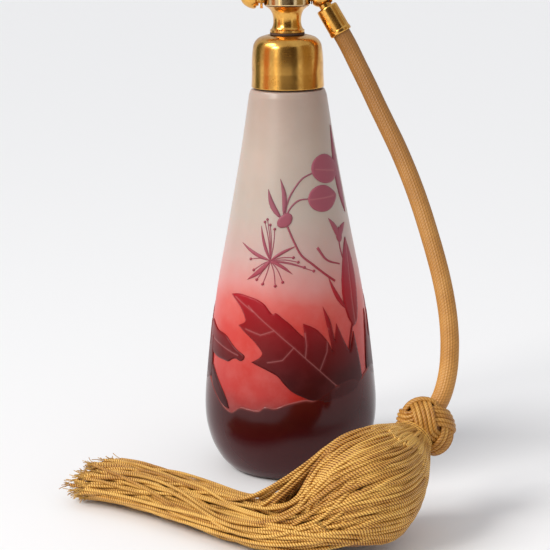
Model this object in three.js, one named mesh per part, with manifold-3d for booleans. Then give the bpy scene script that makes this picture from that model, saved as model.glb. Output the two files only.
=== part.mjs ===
// Perfume atomiser: a tapered cameo-glass flask with a screw-in brass spray head,
// fed by a silk-braided rubber hose from a squeeze bulb in a silk net with a long tassel.
//
// Millimetres, +Z up. The origin is the centre of the bottle's foot, on the table top.
// The nozzle sprays along -X, the hose leaves the head along +X, and the bulb and
// its tassel lie on the table in front of the bottle, on the -Y side.
import * as THREE from 'three';
import { mergeVertices } from 'three/addons/utils/BufferGeometryUtils.js';
import { ParametricGeometry } from 'three/addons/geometries/ParametricGeometry.js';
import Module from 'manifold-3d';

const wasm = await Module();
wasm.setup();

// ---------------------------------------------------------------- driving dimensions
const GAP = 0.3;                 // space kept between pieces that touch
const FINE = 32;                 // facets round the bottle and the collar
const PLAIN = 20;                // facets round the other turned parts

const NECK_R = 10.4;             // glass neck, outside
const NECK_BORE_R = 7;
const NECK_TOP_Z = 165.2;
const GLASS_WALL = 4;

const COLLAR_BOTTOM_Z = 153.6;
const COLLAR_TOP_Z = 173.7;
const RING_BORE_R = 6.15;        // crest of the thread inside the collar
const RING_OUTER_R = 7.25;
const SPIGOT_R = 5.9;            // crest of the thread on the head
const THREAD_PITCH = 1.25;
const THREAD_DEPTH = 0.6;

const STEM_BOTTOM_Z = 174.7;
const DRUM_BOTTOM_Z = 185.2;
const DRUM_TOP_Z = 192.2;
const DRUM_R = 9;
const DRUM_WALL = 0.7;
const JET_Z = 188.3;             // height of the nozzle and hose axis
const NOZZLE_HOLE_R = 2.8;       // hole in the drum that the nozzle barrel passes through
const NOZZLE_BARREL_R = 2.5;

const DIP_TUBE_R = 1.6;
const DIP_TUBE_BORE_R = 0.9;
const DIP_TUBE_LOW_Z = 13;
const DIP_TUBE_TOP_Z = 187.6;

const KNUCKLE_X = 12.7;          // centre of the ball that the elbow swivels about
const KNUCKLE_R = 4.2;
const BOLT_R = 2;                // hollow banjo bolt through the ball
const ELBOW_DIRECTION = new THREE.Vector3(0.5, -0.12, -0.857).normalize();
const FERRULE_START = 4.9;       // distances from the ball's centre along the elbow
const FERRULE_END = 16.4;
const FERRULE_R = 4.25;
const FERRULE_RIM_R = 4.4;
const HOSE_START = 12.3;
const HOSE_R = 3.5;

const BULB_CENTRE = new THREE.Vector3(26.6, -89.9, 21.3);
const BULB_DIRECTION = new THREE.Vector3(-0.62, -0.69, -0.37).normalize();
const NET_R = 19.6;              // net, outside, across and along the bulb
const NET_HALF = 26.5;
const NET_THICKNESS = 0.7;
const NET_MOUTH_R = 4.8;
const RUBBER_WALL = 2;
const BULB_MOUTH_R = 3.6;        // hole in each end of the rubber bulb
const KNOT_AT = -37;             // places along the bulb's axis from its centre
const KNOT_R = 11;
const KNOT_HALF = 8.6;
const NECK_TUBE_START = -30.4;
const VALVE_END = 28.5;
const VALVE_BALL_R = 1.6;

// The hose's free route, from the face inside the ferrule to the neck tube.
const HOSE_ROUTE = [
  [18.85, -1.48, 177.75],
  [23.26, -2.76, 170.00],
  [27.1, -5.1, 162.2],
  [30.8, -8.4, 154.7],
  [34.3, -12.0, 147.2],
  [37.9, -15.8, 139.8],
  [41.4, -19.6, 132.5],
  [44.6, -23.5, 125.0],
  [47.5, -27.5, 117.5],
  [50.1, -31.5, 109.8],
  [52.4, -35.4, 102.1],
  [54.6, -39.3, 94.2],
  [56.5, -43.0, 86.3],
  [58.0, -46.6, 78.1],
  [58.9, -50.0, 69.8],
  [59.0, -53.1, 61.4],
  [58.1, -56.0, 52.9],
  [55.6, -59.2, 44.9],
  [51.0, -63.2, 38.3],
  [45.97, -68.34, 32.86],
].map((p) => new THREE.Vector3(...p));

// The tassel's middle line on the table, with its half width and half height there.
const TASSEL_LINE = [
  { at: [13, -104, 12], halfWidth: 12, halfHeight: 8 },
  { at: [-2, -98, 8.4], halfWidth: 13.5, halfHeight: 7.8 },
  { at: [-18, -84, 7.4], halfWidth: 14, halfHeight: 6.9 },
  { at: [-34, -69, 6.7], halfWidth: 14, halfHeight: 6.2 },
  { at: [-50, -54, 6], halfWidth: 14.5, halfHeight: 5.5 },
  { at: [-65, -42, 5.4], halfWidth: 17, halfHeight: 4.9 },
  { at: [-80, -36, 4.6], halfWidth: 18.5, halfHeight: 4.1 },
];

// ---------------------------------------------------------------- materials
function finish(color, roughness, metalness, extra = {}) {
  return new THREE.MeshStandardMaterial({ color, roughness, metalness, ...extra });
}

const satinGlass = finish(0xb4504c, 0.45, 0, { transparent: true, opacity: 0.92 });
const giltBrass = finish(0xd9a441, 0.18, 1);
const plainBrass = finish(0xb58a45, 0.35, 1);
const silverSteel = finish(0xc4c6c8, 0.25, 1);
const plaster = finish(0xe4dccb, 0.9, 0);
const leather = finish(0x3a2a22, 0.8, 0);
const rubber = finish(0x7d3a24, 0.7, 0);
const oldGoldSilk = finish(0xc08b42, 0.6, 0);
const clearTube = finish(0xe8e4da, 0.3, 0);

// ---------------------------------------------------------------- geometry helpers
function signedVolume(geometry) {
  const place = geometry.getAttribute('position');
  const corners = [0, 1, 2].map(() => new THREE.Vector3());
  let volume = 0;
  for (let i = 0; i < geometry.index.count; i += 3) {
    corners.forEach((corner, k) => corner.fromBufferAttribute(place, geometry.index.getX(i + k)));
    volume += corners[0].dot(corners[1].clone().cross(corners[2])) / 6;
  }
  return volume;
}

// Welds a geometry into one closed skin, without empty triangles, facing outwards.
function closed(source) {
  const bare = source.clone();
  bare.deleteAttribute('normal');
  bare.deleteAttribute('uv');
  const geometry = mergeVertices(bare, 1e-4);
  const kept = [];
  for (let i = 0; i < geometry.index.count; i += 3) {
    const [a, b, c] = [0, 1, 2].map((k) => geometry.index.getX(i + k));
    if (a !== b && b !== c && c !== a) kept.push(a, b, c);
  }
  geometry.setIndex(kept);
  if (signedVolume(geometry) < 0) geometry.setIndex(kept.reverse());
  geometry.computeVertexNormals();
  return geometry;
}

function toSolid(geometry) {
  const skin = closed(geometry);
  return new wasm.Manifold(new wasm.Mesh({
    numProp: 3,
    vertProperties: new Float32Array(skin.getAttribute('position').array),
    triVerts: new Uint32Array(skin.index.array),
  }));
}

function fromSolid(solid) {
  const mesh = solid.getMesh();
  const geometry = new THREE.BufferGeometry();
  geometry.setAttribute('position', new THREE.BufferAttribute(new Float32Array(mesh.vertProperties), 3));
  geometry.setIndex(new THREE.BufferAttribute(new Uint32Array(mesh.triVerts), 1));
  geometry.computeVertexNormals();
  return geometry;
}

function cut(body, ...tools) {
  return fromSolid(tools.reduce((solid, tool) => solid.subtract(toSolid(tool)), toSolid(body)));
}

// A turned piece about +Z from [radius, height] points; a bored one closes on itself.
function turned(profile, facets = PLAIN) {
  const points = profile.map(([r, z]) => new THREE.Vector2(r, z));
  const first = points[0];
  const last = points[points.length - 1];
  if (first.x > 0 || last.x > 0) points.push(first.clone());
  return closed(new THREE.LatheGeometry(points, facets).rotateX(Math.PI / 2));
}

function tube(outerR, innerR, lowZ, highZ, facets = PLAIN) {
  return turned([[innerR, lowZ], [outerR, lowZ], [outerR, highZ], [innerR, highZ]], facets);
}

function rod(radius, lowZ, highZ, facets = PLAIN) {
  return turned([[0, lowZ], [radius, lowZ], [radius, highZ], [0, highZ]], facets);
}

// Turns a +Z piece so that it lies along a direction from a point.
function along(geometry, from, direction) {
  const turn = new THREE.Quaternion().setFromUnitVectors(new THREE.Vector3(0, 0, 1), direction);
  return geometry.applyQuaternion(turn).translate(from.x, from.y, from.z);
}

const object = new THREE.Group();

function add(name, geometry, material) {
  const mesh = new THREE.Mesh(closed(geometry), material);
  mesh.name = name;
  object.add(mesh);
}

// ---------------------------------------------------------------- bottle and collar
function outlineThrough(points, steps) {
  const curve = new THREE.SplineCurve(points.map(([r, z]) => new THREE.Vector2(r, z)));
  return curve.getPoints(steps).map((p) => [p.x, p.y]);
}

function glassBottle() {
  const side = outlineThrough(
    [[24.6, 0.5], [28.7, 5], [32.4, 13], [34.15, 24], [33, 41], [29.3, 71],
      [23.8, 100.5], [18.5, 129.4], [15.2, 150.6]], 12);
  const shoulder = [[14.4, 152.7], [NECK_R + 0.6, 153.3], [NECK_R, 154], [NECK_R, NECK_TOP_Z]];
  const throat = [[NECK_BORE_R, NECK_TOP_Z], [NECK_BORE_R, 152], [8.4, 148]];
  const cavity = outlineThrough(
    [[19.2 - GLASS_WALL, 124], [23.8 - GLASS_WALL, 100.5], [29.3 - GLASS_WALL, 71],
      [33 - GLASS_WALL, 41], [33.6 - GLASS_WALL, 24], [25, 12], [14, 9.6]], 8);
  return turned([[0, 0], [22, 0], ...side, ...shoulder, ...throat, ...cavity, [0, 9.4]], FINE);
}

function neckCollar() {
  return turned([
    [13.4, COLLAR_BOTTOM_Z], [14.2, COLLAR_BOTTOM_Z], [13.95, 159], [13.9, 164],
    [13.55, 168], [13.1, 170.2], [12.1, 171.8], [10.6, 172.9], [8.4, 173.6],
    [RING_OUTER_R + 0.2, COLLAR_TOP_Z], [RING_OUTER_R + 0.2, 172.7],
    [9.6, 172.3], [11.4, 171.1], [12.4, 169.6], [12.85, 167.6], [13.1, 164],
  ], FINE);
}

function cementBed() {
  const inner = NECK_R + 0.25;
  return turned([
    [inner, 155], [13.05, 155], [12.75, 164], [12.4, 167.6], [11.9, 169.4], [11, 170.6],
    [9.4, 171.6], [RING_OUTER_R + 0.25, 171.9], [RING_OUTER_R + 0.25, NECK_TOP_Z + 0.25],
    [inner, NECK_TOP_Z + 0.25],
  ], FINE);
}

// Points of a saw-tooth thread, as separate crests and roots up one side.
function threadTeeth(crestR, rootR, lowZ, highZ) {
  const turns = Math.floor((highZ - lowZ) / THREAD_PITCH);
  const teeth = [];
  for (let i = 0; i < turns; i += 1) {
    const z = lowZ + i * THREAD_PITCH;
    teeth.push([rootR, z + 0.1], [crestR, z + THREAD_PITCH * 0.5]);
  }
  return [...teeth, [rootR, lowZ + turns * THREAD_PITCH + 0.1]];
}

function threadRing() {
  const low = NECK_TOP_Z + GAP;
  const high = COLLAR_TOP_Z - 0.1;
  const teeth = threadTeeth(RING_BORE_R, RING_BORE_R + THREAD_DEPTH, low + 1, high - 0.9);
  return turned([...teeth, [RING_BORE_R + 0.3, high], [RING_OUTER_R, high], [RING_OUTER_R, low],
    [RING_BORE_R + 0.3, low]]);
}

add('glass_bottle', glassBottle(), satinGlass);
add('neck_collar', neckCollar(), giltBrass);
add('cement_bed', cementBed(), plaster);
add('thread_ring', threadRing(), plainBrass);
add('seal_washer', tube(7.5, SPIGOT_R + 0.3, COLLAR_TOP_Z + 0.15, STEM_BOTTOM_Z - 0.15), leather);

// ---------------------------------------------------------------- head: stem, spigot, dip tube
const SPIGOT_LOW_Z = 166.2;
const SPIGOT_TAIL_R = 3.6;
const LIQUID_BORE_R = 2.2;

function headStem() {
  return turned([
    [SPIGOT_TAIL_R + 0.3, STEM_BOTTOM_Z], [6.7, STEM_BOTTOM_Z], [6.7, 175.6], [5.95, 176.4],
    [5.45, 178], [5.4, 179.8], [5.7, 181.6], [6.5, 183.2], [7.7, 184.3], [8.6, 184.9],
    [LIQUID_BORE_R, 184.9], [LIQUID_BORE_R, 178.9], [SPIGOT_TAIL_R + 0.3, 178.9],
  ]);
}

function inletSpigot() {
  const teeth = threadTeeth(SPIGOT_R, SPIGOT_R - THREAD_DEPTH, SPIGOT_LOW_Z + 0.3, 173.4);
  return turned([[LIQUID_BORE_R, SPIGOT_LOW_Z], [SPIGOT_R - THREAD_DEPTH, SPIGOT_LOW_Z], ...teeth,
    [SPIGOT_R - 0.3, 174.4], [SPIGOT_TAIL_R, 174.4], [SPIGOT_TAIL_R, 178.5], [LIQUID_BORE_R, 178.5]]);
}

function dipTubeNut() {
  const nut = rod(3.9, SPIGOT_LOW_Z - 4.3, SPIGOT_LOW_Z - GAP, 6);
  return cut(nut, rod(DIP_TUBE_R + 0.3, SPIGOT_LOW_Z - 6, SPIGOT_LOW_Z + 1, 16));
}

add('head_stem', headStem(), giltBrass);
add('inlet_spigot', inletSpigot(), plainBrass);
add('dip_tube_nut', dipTubeNut(), plainBrass);
add('dip_tube', tube(DIP_TUBE_R, DIP_TUBE_BORE_R, DIP_TUBE_LOW_Z, DIP_TUBE_TOP_Z, 16), clearTube);

// ---------------------------------------------------------------- head: drum and spray parts
const LEFT = new THREE.Vector3(-1, 0, 0);
const RIGHT = new THREE.Vector3(1, 0, 0);
const JET_ORIGIN = new THREE.Vector3(0, 0, JET_Z);

function drumShell() {
  const inner = DRUM_R - DRUM_WALL;
  const cup = turned([
    [LIQUID_BORE_R, DRUM_BOTTOM_Z], [DRUM_R - 0.3, DRUM_BOTTOM_Z], [DRUM_R, DRUM_BOTTOM_Z + 0.3],
    [DRUM_R, DRUM_TOP_Z], [inner, DRUM_TOP_Z], [inner, DRUM_BOTTOM_Z + DRUM_WALL],
    [LIQUID_BORE_R, DRUM_BOTTOM_Z + DRUM_WALL],
  ]);
  const barrelHole = along(rod(NOZZLE_HOLE_R, 4.9, 12), JET_ORIGIN, LEFT);
  const boltHole = along(rod(BOLT_R + GAP, 6, 12), JET_ORIGIN, RIGHT);
  return cut(cup, barrelHole, boltHole);
}

function drumCover() {
  return turned([
    [1.4, 193.1], [DRUM_R, 193.1], [DRUM_R, 193.6], [8.5, 194.2], [6.4, 194.9], [3.6, 195.35], [1.4, 195.4],
  ]);
}

function coverFinial() {
  return turned([
    [0, 191.6], [1.1, 191.6], [1.1, 195.7], [2.1, 195.7], [1.5, 196.3], [1.9, 197], [2.3, 198],
    [1.9, 199.1], [1, 199.7], [0, 199.8],
  ]);
}

function jetBlock() {
  const block = rod(4.8, DRUM_BOTTOM_Z + 1, 191.3);
  const liquidBore = rod(DIP_TUBE_R + 0.25, DRUM_BOTTOM_Z, DIP_TUBE_TOP_Z + 0.3, 16);
  const crossBore = along(rod(1.1, -9, 9, 12), JET_ORIGIN, RIGHT);
  return cut(block, liquidBore, crossBore);
}

function nozzleCap() {
  return turned([
    [0.5, 17.8], [0.5, 17], [2.2, 15.6], [2.85, 14.8], [2.85, 11], [3.4, 11], [3.6, 11.7],
    [4.25, 12.1], [4.5, 12.8], [4.35, 13.9], [3.8, 15.3], [2.8, 16.7], [1.5, 17.6],
  ]);
}

add('drum_shell', drumShell(), giltBrass);
add('drum_gasket', tube(DRUM_R - 0.1, DRUM_R - 1.3, DRUM_TOP_Z + 0.2, DRUM_TOP_Z + 0.7), leather);
add('drum_cover', drumCover(), giltBrass);
add('cover_finial', coverFinial(), giltBrass);
add('jet_block', jetBlock(), plainBrass);
add('nozzle_barrel', along(tube(NOZZLE_BARREL_R, 1.3, 5.2, 14.4), JET_ORIGIN, LEFT), plainBrass);
add('liquid_jet', along(tube(0.8, 0.4, 2.2, 15.6, 12), JET_ORIGIN, LEFT), silverSteel);
add('nozzle_lock_ring', along(tube(4.4, NOZZLE_BARREL_R + GAP, 9.35, 10.4), JET_ORIGIN, LEFT), giltBrass);
add('nozzle_cap', along(nozzleCap(), JET_ORIGIN, LEFT), giltBrass);

// ---------------------------------------------------------------- elbow that swivels on its bolt
const BALL_CENTRE = new THREE.Vector3(KNUCKLE_X, 0, JET_Z);
const FLAT_NEAR = 9.9;           // flat faces of the ball, from the head's axis
const FLAT_FAR = 15.5;
const BOSS_R = 2.4;

function banjoBolt() {
  const bolt = turned([
    [0, 5.2], [BOLT_R, 5.2], [BOLT_R, 16.3], [2.5, 16.3], [2.5, 17.1], [2, 17.5], [0, 17.6],
  ]);
  return cut(along(bolt, JET_ORIGIN, RIGHT), along(rod(0.9, 3, 14, 12), JET_ORIGIN, RIGHT),
    rod(0.8, JET_Z - 4, JET_Z + 4, 12).translate(KNUCKLE_X, 0, 0));
}

function elbowKnuckle() {
  const ball = new THREE.SphereGeometry(KNUCKLE_R, PLAIN, 12).translate(KNUCKLE_X, 0, JET_Z);
  const boss = along(rod(BOSS_R, 1, 8.6, 16), BALL_CENTRE, ELBOW_DIRECTION);
  const joined = toSolid(ball).add(toSolid(boss));
  const tools = [
    along(rod(9, FLAT_NEAR - 9, FLAT_NEAR), JET_ORIGIN, RIGHT),
    along(rod(3.3, FLAT_FAR, FLAT_FAR + 3), JET_ORIGIN, RIGHT),
    along(rod(BOLT_R + 0.25, 5, 20), JET_ORIGIN, RIGHT),
    along(rod(3, KNUCKLE_X - 1.2, KNUCKLE_X + 1.2), JET_ORIGIN, RIGHT),
    along(rod(1.2, 0, 12, 12), BALL_CENTRE, ELBOW_DIRECTION),
  ];
  return fromSolid(tools.reduce((solid, tool) => solid.subtract(toSolid(tool)), joined));
}

function elbowFerrule() {
  const seat = HOSE_START - GAP;
  const bore = turned([
    [1.6, seat], [1.6, 8.9], [BOSS_R + GAP, 8.9], [BOSS_R + GAP, FERRULE_START], [3.9, FERRULE_START],
    [FERRULE_R, FERRULE_START + 0.4], [FERRULE_R, FERRULE_END - 1.6],
    [FERRULE_RIM_R, FERRULE_END - 1.2], [FERRULE_RIM_R, FERRULE_END - 0.3],
    [FERRULE_R, FERRULE_END], [HOSE_R + 0.25, FERRULE_END], [HOSE_R + 0.25, seat],
  ]);
  return along(bore, BALL_CENTRE, ELBOW_DIRECTION);
}

add('banjo_bolt', banjoBolt(), giltBrass);
for (const [name, x] of [['knuckle_washer_inner', 9.3], ['knuckle_washer_outer', 15.75]]) {
  add(name, along(tube(3, BOLT_R + 0.25, x, x + 0.35), JET_ORIGIN, RIGHT), leather);
}
add('elbow_knuckle', elbowKnuckle(), giltBrass);
add('elbow_ferrule', elbowFerrule(), giltBrass);

// ---------------------------------------------------------------- hose
const HOSE_SIDES = 10;
const HOSE_STEPS = 26;

function sweep(radius, sides, steps) {
  const section = new THREE.Shape();
  for (let i = 0; i < sides; i += 1) {
    const angle = (i / sides) * 2 * Math.PI;
    section[i ? 'lineTo' : 'moveTo'](radius * Math.cos(angle), radius * Math.sin(angle));
  }
  section.closePath();
  const extrudePath = new THREE.CatmullRomCurve3(HOSE_ROUTE, false, 'centripetal');
  return new THREE.ExtrudeGeometry(section, { steps, extrudePath, bevelEnabled: false });
}

add('braided_hose', sweep(HOSE_R, HOSE_SIDES, HOSE_STEPS), oldGoldSilk);

// ---------------------------------------------------------------- bulb, knot and valve
const onBulb = (geometry) => along(geometry, BULB_CENTRE, BULB_DIRECTION);

// Points on an ellipse between the two mouths, from the lower end to the upper.
function ellipseSide(radius, half, mouthR, steps) {
  const limit = Math.acos(mouthR / radius);
  return Array.from({ length: steps + 1 }, (_, i) => {
    const angle = -limit + (2 * limit * i) / steps;
    return [radius * Math.cos(angle), half * Math.sin(angle)];
  });
}

function shell(radius, half, thickness, mouthR, steps) {
  const outside = ellipseSide(radius, half, mouthR, steps);
  const inside = ellipseSide(radius - thickness, half - thickness, mouthR, steps);
  return onBulb(turned([...outside, ...inside.reverse()]));
}

function turksHeadKnot() {
  const body = new THREE.SphereGeometry(1, PLAIN, 12).rotateX(Math.PI / 2);
  body.scale(KNOT_R, KNOT_R, KNOT_HALF).translate(0, 0, KNOT_AT);
  const neckHole = onBulb(rod(HOSE_R + 0.6, KNOT_AT + 4, KNOT_AT + 12));
  return cut(onBulb(body), sweep(HOSE_R + 0.6, HOSE_SIDES, HOSE_STEPS), neckHole);
}

function valveBody() {
  return onBulb(turned([
    [0.9, VALVE_END], [0.9, 26.4], [2.1, 26.2], [2.1, 21.4], [1.1, 21.2], [1.1, 20],
    [3.1, 20], [3.1, 26.6], [4.2, 26.9], [4.2, VALVE_END],
  ]));
}

function tailBinding() {
  return onBulb(new THREE.TorusGeometry(5.6, 0.8, 8, PLAIN).translate(0, 0, 27.6));
}

add('turks_head_knot', turksHeadKnot(), oldGoldSilk);
add('bulb_neck_tube', onBulb(turned([
  [1.8, NECK_TUBE_START], [2.6, NECK_TUBE_START], [3.2, -29.4], [3.2, -18.4], [1.8, -18.4]])), plainBrass);
const insideNet = NET_THICKNESS + GAP;
add('rubber_bulb', shell(NET_R - insideNet, NET_HALF - insideNet, RUBBER_WALL, BULB_MOUTH_R, 10), rubber);
add('net_cover', shell(NET_R, NET_HALF, NET_THICKNESS, NET_MOUTH_R, 10), oldGoldSilk);
add('valve_body', valveBody(), plainBrass);
add('valve_guard', onBulb(tube(3.4, 0.8, VALVE_END + GAP, VALVE_END + 0.9)), plainBrass);
add('valve_ball', onBulb(new THREE.SphereGeometry(VALVE_BALL_R, 12, 8).translate(0, 0, 24.4)), silverSteel);
add('tail_binding', tailBinding(), oldGoldSilk);

// ---------------------------------------------------------------- fan of cords and tassel
const FAN_THICKNESS = 1.2;
const FAN_LOW_Z = 28;            // the fan's lower edge, above the table
const FAN_START = -21;           // its edge by the knot, along the bulb's axis

function fanCords() {
  const skin = (extra) => {
    const ball = new THREE.SphereGeometry(1, 24, 14).rotateX(Math.PI / 2);
    return onBulb(ball.scale(NET_R + extra, NET_R + extra, NET_HALF + extra));
  };
  const tools = [
    skin(GAP),
    rod(80, -20, FAN_LOW_Z).translate(BULB_CENTRE.x, BULB_CENTRE.y, 0),
    onBulb(rod(40, -60, FAN_START)),
  ];
  return cut(skin(GAP + FAN_THICKNESS), ...tools);
}

// The tassel's surface: u goes round the section and v along the middle line.
function tassel() {
  const at = (pick) => new THREE.CatmullRomCurve3(TASSEL_LINE.map(pick), false, 'centripetal');
  const line = at((p) => new THREE.Vector3(...p.at));
  const sizes = new THREE.SplineCurve(
    TASSEL_LINE.map((p) => new THREE.Vector2(p.halfWidth, p.halfHeight)));
  const surface = (u, v, target) => {
    const middle = line.getPoint(v);
    const tangent = line.getTangent(v).setZ(0).normalize();
    const size = sizes.getPoint(v);
    const swell = Math.sqrt(Math.max(0, 1 - (2 * v - 1) ** 14));
    const angle = 2 * Math.PI * u;
    const across = size.x * swell * Math.cos(angle);
    target.set(middle.x - tangent.y * across, middle.y + tangent.x * across,
      middle.z + size.y * swell * Math.sin(angle));
  };
  const loft = new ParametricGeometry(surface, 16, 18);
  const envelope = onBulb(new THREE.SphereGeometry(1, 24, 14).rotateX(Math.PI / 2)
    .scale(NET_R + 0.8, NET_R + 0.8, NET_HALF + 0.8));
  return cut(loft, envelope, onBulb(rod(7, 18, VALVE_END + 1.5)));
}

add('fan_cords', fanCords(), oldGoldSilk);
add('tassel', tassel(), oldGoldSilk);

export default object;
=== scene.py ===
# %% [markdown]
# # A perfume atomiser with a silk bulb and tassel
# The object is a tapered glass flask with a gilt brass spray head. A braided hose leads from the head
# to a squeeze bulb that lies on the table under a net, a knot and a long tassel of silk cord.
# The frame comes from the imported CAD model. Everything below is in metres in that frame, and shapes
# are written in millimetres and multiplied by MM, because small brass parts read better that way.

# %% Load the frame
import math
import bmesh
import bpy
import numpy as np
from mathutils import Matrix, Vector, geometry, kdtree


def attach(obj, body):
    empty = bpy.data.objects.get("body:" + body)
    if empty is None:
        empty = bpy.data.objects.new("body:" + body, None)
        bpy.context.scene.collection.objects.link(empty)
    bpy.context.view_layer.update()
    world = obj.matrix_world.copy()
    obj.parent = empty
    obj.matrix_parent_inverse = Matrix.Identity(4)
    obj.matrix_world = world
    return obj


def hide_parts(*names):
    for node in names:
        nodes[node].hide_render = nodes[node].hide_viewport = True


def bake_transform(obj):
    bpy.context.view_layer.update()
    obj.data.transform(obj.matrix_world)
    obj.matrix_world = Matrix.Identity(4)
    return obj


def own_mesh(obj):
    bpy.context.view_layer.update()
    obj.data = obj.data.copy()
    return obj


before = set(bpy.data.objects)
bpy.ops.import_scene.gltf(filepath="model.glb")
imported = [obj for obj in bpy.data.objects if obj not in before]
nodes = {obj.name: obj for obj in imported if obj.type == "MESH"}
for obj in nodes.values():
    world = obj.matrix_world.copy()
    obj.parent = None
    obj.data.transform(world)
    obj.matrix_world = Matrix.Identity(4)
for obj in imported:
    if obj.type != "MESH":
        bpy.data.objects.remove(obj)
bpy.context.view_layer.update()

MM = 0.001
scene = bpy.context.scene

# %% [markdown]
# ## Camera, floor and light
# A long lens from a little above the table keeps the flask's sides nearly parallel. The floor is one
# pale sheet, so that the shadows of the bulb and the hose fall on something plain. Polished brass is
# only as good as what it reflects: tall cards, seen by glossy rays alone, give it the light and
# dark bands that make a turned collar look round.

# %% Camera
CAMERA_PLACE = (-0.0058, -0.68206, 0.23557)
CAMERA_LENS_MM = 114.545
CAMERA_TILT_DEG = 77
CAMERA_ROLL_DEG = -0.63
camera_data = bpy.data.cameras.new("camera")
camera_data.lens = CAMERA_LENS_MM
camera_data.sensor_width = 36
camera_data.clip_end = 20
camera = bpy.data.objects.new("camera", camera_data)
scene.collection.objects.link(camera)
scene.camera = camera
aim = Matrix.Rotation(math.radians(CAMERA_TILT_DEG), 4, "X")
roll = Matrix.Rotation(math.radians(CAMERA_ROLL_DEG), 4, "Z")
camera.matrix_world = Matrix.Translation(CAMERA_PLACE) @ aim @ roll
scene.view_settings.view_transform = "Standard"
print("camera:", [round(x, 3) for x in camera.location])


# %% A few helpers for paint and shader nodes
def srgb(red, green, blue):
    """A colour written 0 to 255, as linear light for a shader."""
    def linear(value):
        share = value / 255
        return share / 12.92 if share <= 0.04045 else ((share + 0.055) / 1.055) ** 2.4
    return (linear(red), linear(green), linear(blue), 1.0)


def wire(tree, source, target):
    tree.links.new(source, target)


def feed(tree, socket, value):
    """Sets a socket to a plain value, or wires it when the value is a socket itself."""
    if isinstance(value, bpy.types.NodeSocket):
        wire(tree, value, socket)
    else:
        socket.default_value = value


def feed_all(tree, node, inputs):
    """Feeds a node's inputs by name; spaces in a name are written as _."""
    for name, value in inputs.items():
        feed(tree, node.inputs[name.replace("_", " ")], value)
    return node


def add_node(tree, kind, **inputs):
    return feed_all(tree, tree.nodes.new(kind), inputs)


def new_material(name, **inputs):
    """A material with one Principled shader; returns it with its tree and shader."""
    material = bpy.data.materials.new(name)
    material.use_nodes = True
    tree = material.node_tree
    return material, tree, feed_all(tree, tree.nodes["Principled BSDF"], inputs)


def ramp(tree, factor, stops):
    """A colour ramp from (place 0 to 1, colour) stops."""
    node = tree.nodes.new("ShaderNodeValToRGB")
    bar = node.color_ramp.elements
    bar[0].position, bar[0].color = stops[0]
    bar[1].position, bar[1].color = stops[-1]
    for place, colour in stops[1:-1]:
        stop = bar.new(place)
        stop.color = colour
    wire(tree, factor, node.inputs["Fac"])
    return node.outputs["Color"]


# A Mix node has sockets for every kind of value. These are the numbers of its colour ones.
MIX_FACTOR, MIX_FIRST, MIX_SECOND, MIX_RESULT = 0, 6, 7, 2


def blend_colours(tree, factor, first, second):
    """Mixes two colours, each a socket or a plain colour."""
    node = tree.nodes.new("ShaderNodeMix")
    node.data_type = "RGBA"
    for number, value in ((MIX_FACTOR, factor), (MIX_FIRST, first), (MIX_SECOND, second)):
        feed(tree, node.inputs[number], value)
    return node.outputs[MIX_RESULT]


def sums(tree, operation, first, second=0.0, clamp=False):
    """One Math node; first and second are sockets or numbers."""
    node = tree.nodes.new("ShaderNodeMath")
    node.operation = operation
    node.use_clamp = clamp
    for socket, value in zip(node.inputs, (first, second)):
        feed(tree, socket, value)
    return node.outputs[0]


def scaled(tree, value, factor, offset):
    """value times factor plus offset."""
    return sums(tree, "ADD", sums(tree, "MULTIPLY", value, factor), offset)


def excess(tree, value, level, factor):
    """How far value is above level, times factor, and 0 below it."""
    return sums(tree, "MULTIPLY", sums(tree, "SUBTRACT", value, level, True), factor)


def object_space(tree):
    return tree.nodes.new("ShaderNodeTexCoord").outputs["Object"]


def height_in(tree, place):
    return add_node(tree, "ShaderNodeSeparateXYZ", Vector=place).outputs["Z"]


def noise(tree, place, **inputs):
    return add_node(tree, "ShaderNodeTexNoise", Vector=place, **inputs).outputs["Fac"]


def named_value(tree, name, output="Fac"):
    node = tree.nodes.new("ShaderNodeAttribute")
    node.attribute_name = name
    return node.outputs[output]


def bump(tree, shader, height, distance, strength=1.0):
    node = add_node(tree, "ShaderNodeBump", Height=height, Distance=distance, Strength=strength)
    wire(tree, node.outputs["Normal"], shader.inputs["Normal"])


# %% Floor
FLOOR_HALF = 4.0
FLOOR_Z = -0.0001
floor_corners = [(x * FLOOR_HALF, y * FLOOR_HALF, FLOOR_Z) for x, y in ((-1, -1), (1, -1), (1, 1), (-1, 1))]
floor_mesh = bpy.data.meshes.new("table_top")
floor_mesh.from_pydata(floor_corners, [], [(0, 1, 2, 3)])
floor = bpy.data.objects.new("table_top", floor_mesh)
scene.collection.objects.link(floor)
floor_paint, floor_tree, floor_shader = new_material("matte white board", Roughness=0.6)
floor_shader.inputs["Base Color"].default_value = srgb(246, 245, 244)
floor_mesh.materials.append(floor_paint)

# %% Daylight all round, a wide window light from the front left and a small key
world = bpy.data.worlds.new("studio")
scene.world = world
world.use_nodes = True
feed_all(world.node_tree, world.node_tree.nodes["Background"],
         dict(Color=srgb(240, 242, 246), Strength=0.70))


def soft_box(name, place, size, watts, colour):
    """A square lamp that faces the middle of the object."""
    data = bpy.data.lights.new(name, "AREA")
    data.shape = "RECTANGLE"
    data.size = size
    data.size_y = size
    data.energy = watts
    data.color = colour
    lamp = bpy.data.objects.new(name, data)
    scene.collection.objects.link(lamp)
    target = Vector((0, -0.03, 0.08))
    lamp.rotation_euler = (target - Vector(place)).to_track_quat("-Z", "Y").to_euler()
    lamp.location = place


soft_box("key", (-0.62, -0.62, 0.62), 0.22, 2.6, (1.0, 0.97, 0.93))
sky_data = bpy.data.lights.new("window", "SUN")
sky_data.energy = 1.6
sky_data.angle = math.radians(26)
sky = bpy.data.objects.new("window", sky_data)
sky.rotation_euler = Vector((0.95, 0.30, -0.88)).to_track_quat("-Z", "Y").to_euler()
scene.collection.objects.link(sky)


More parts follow.
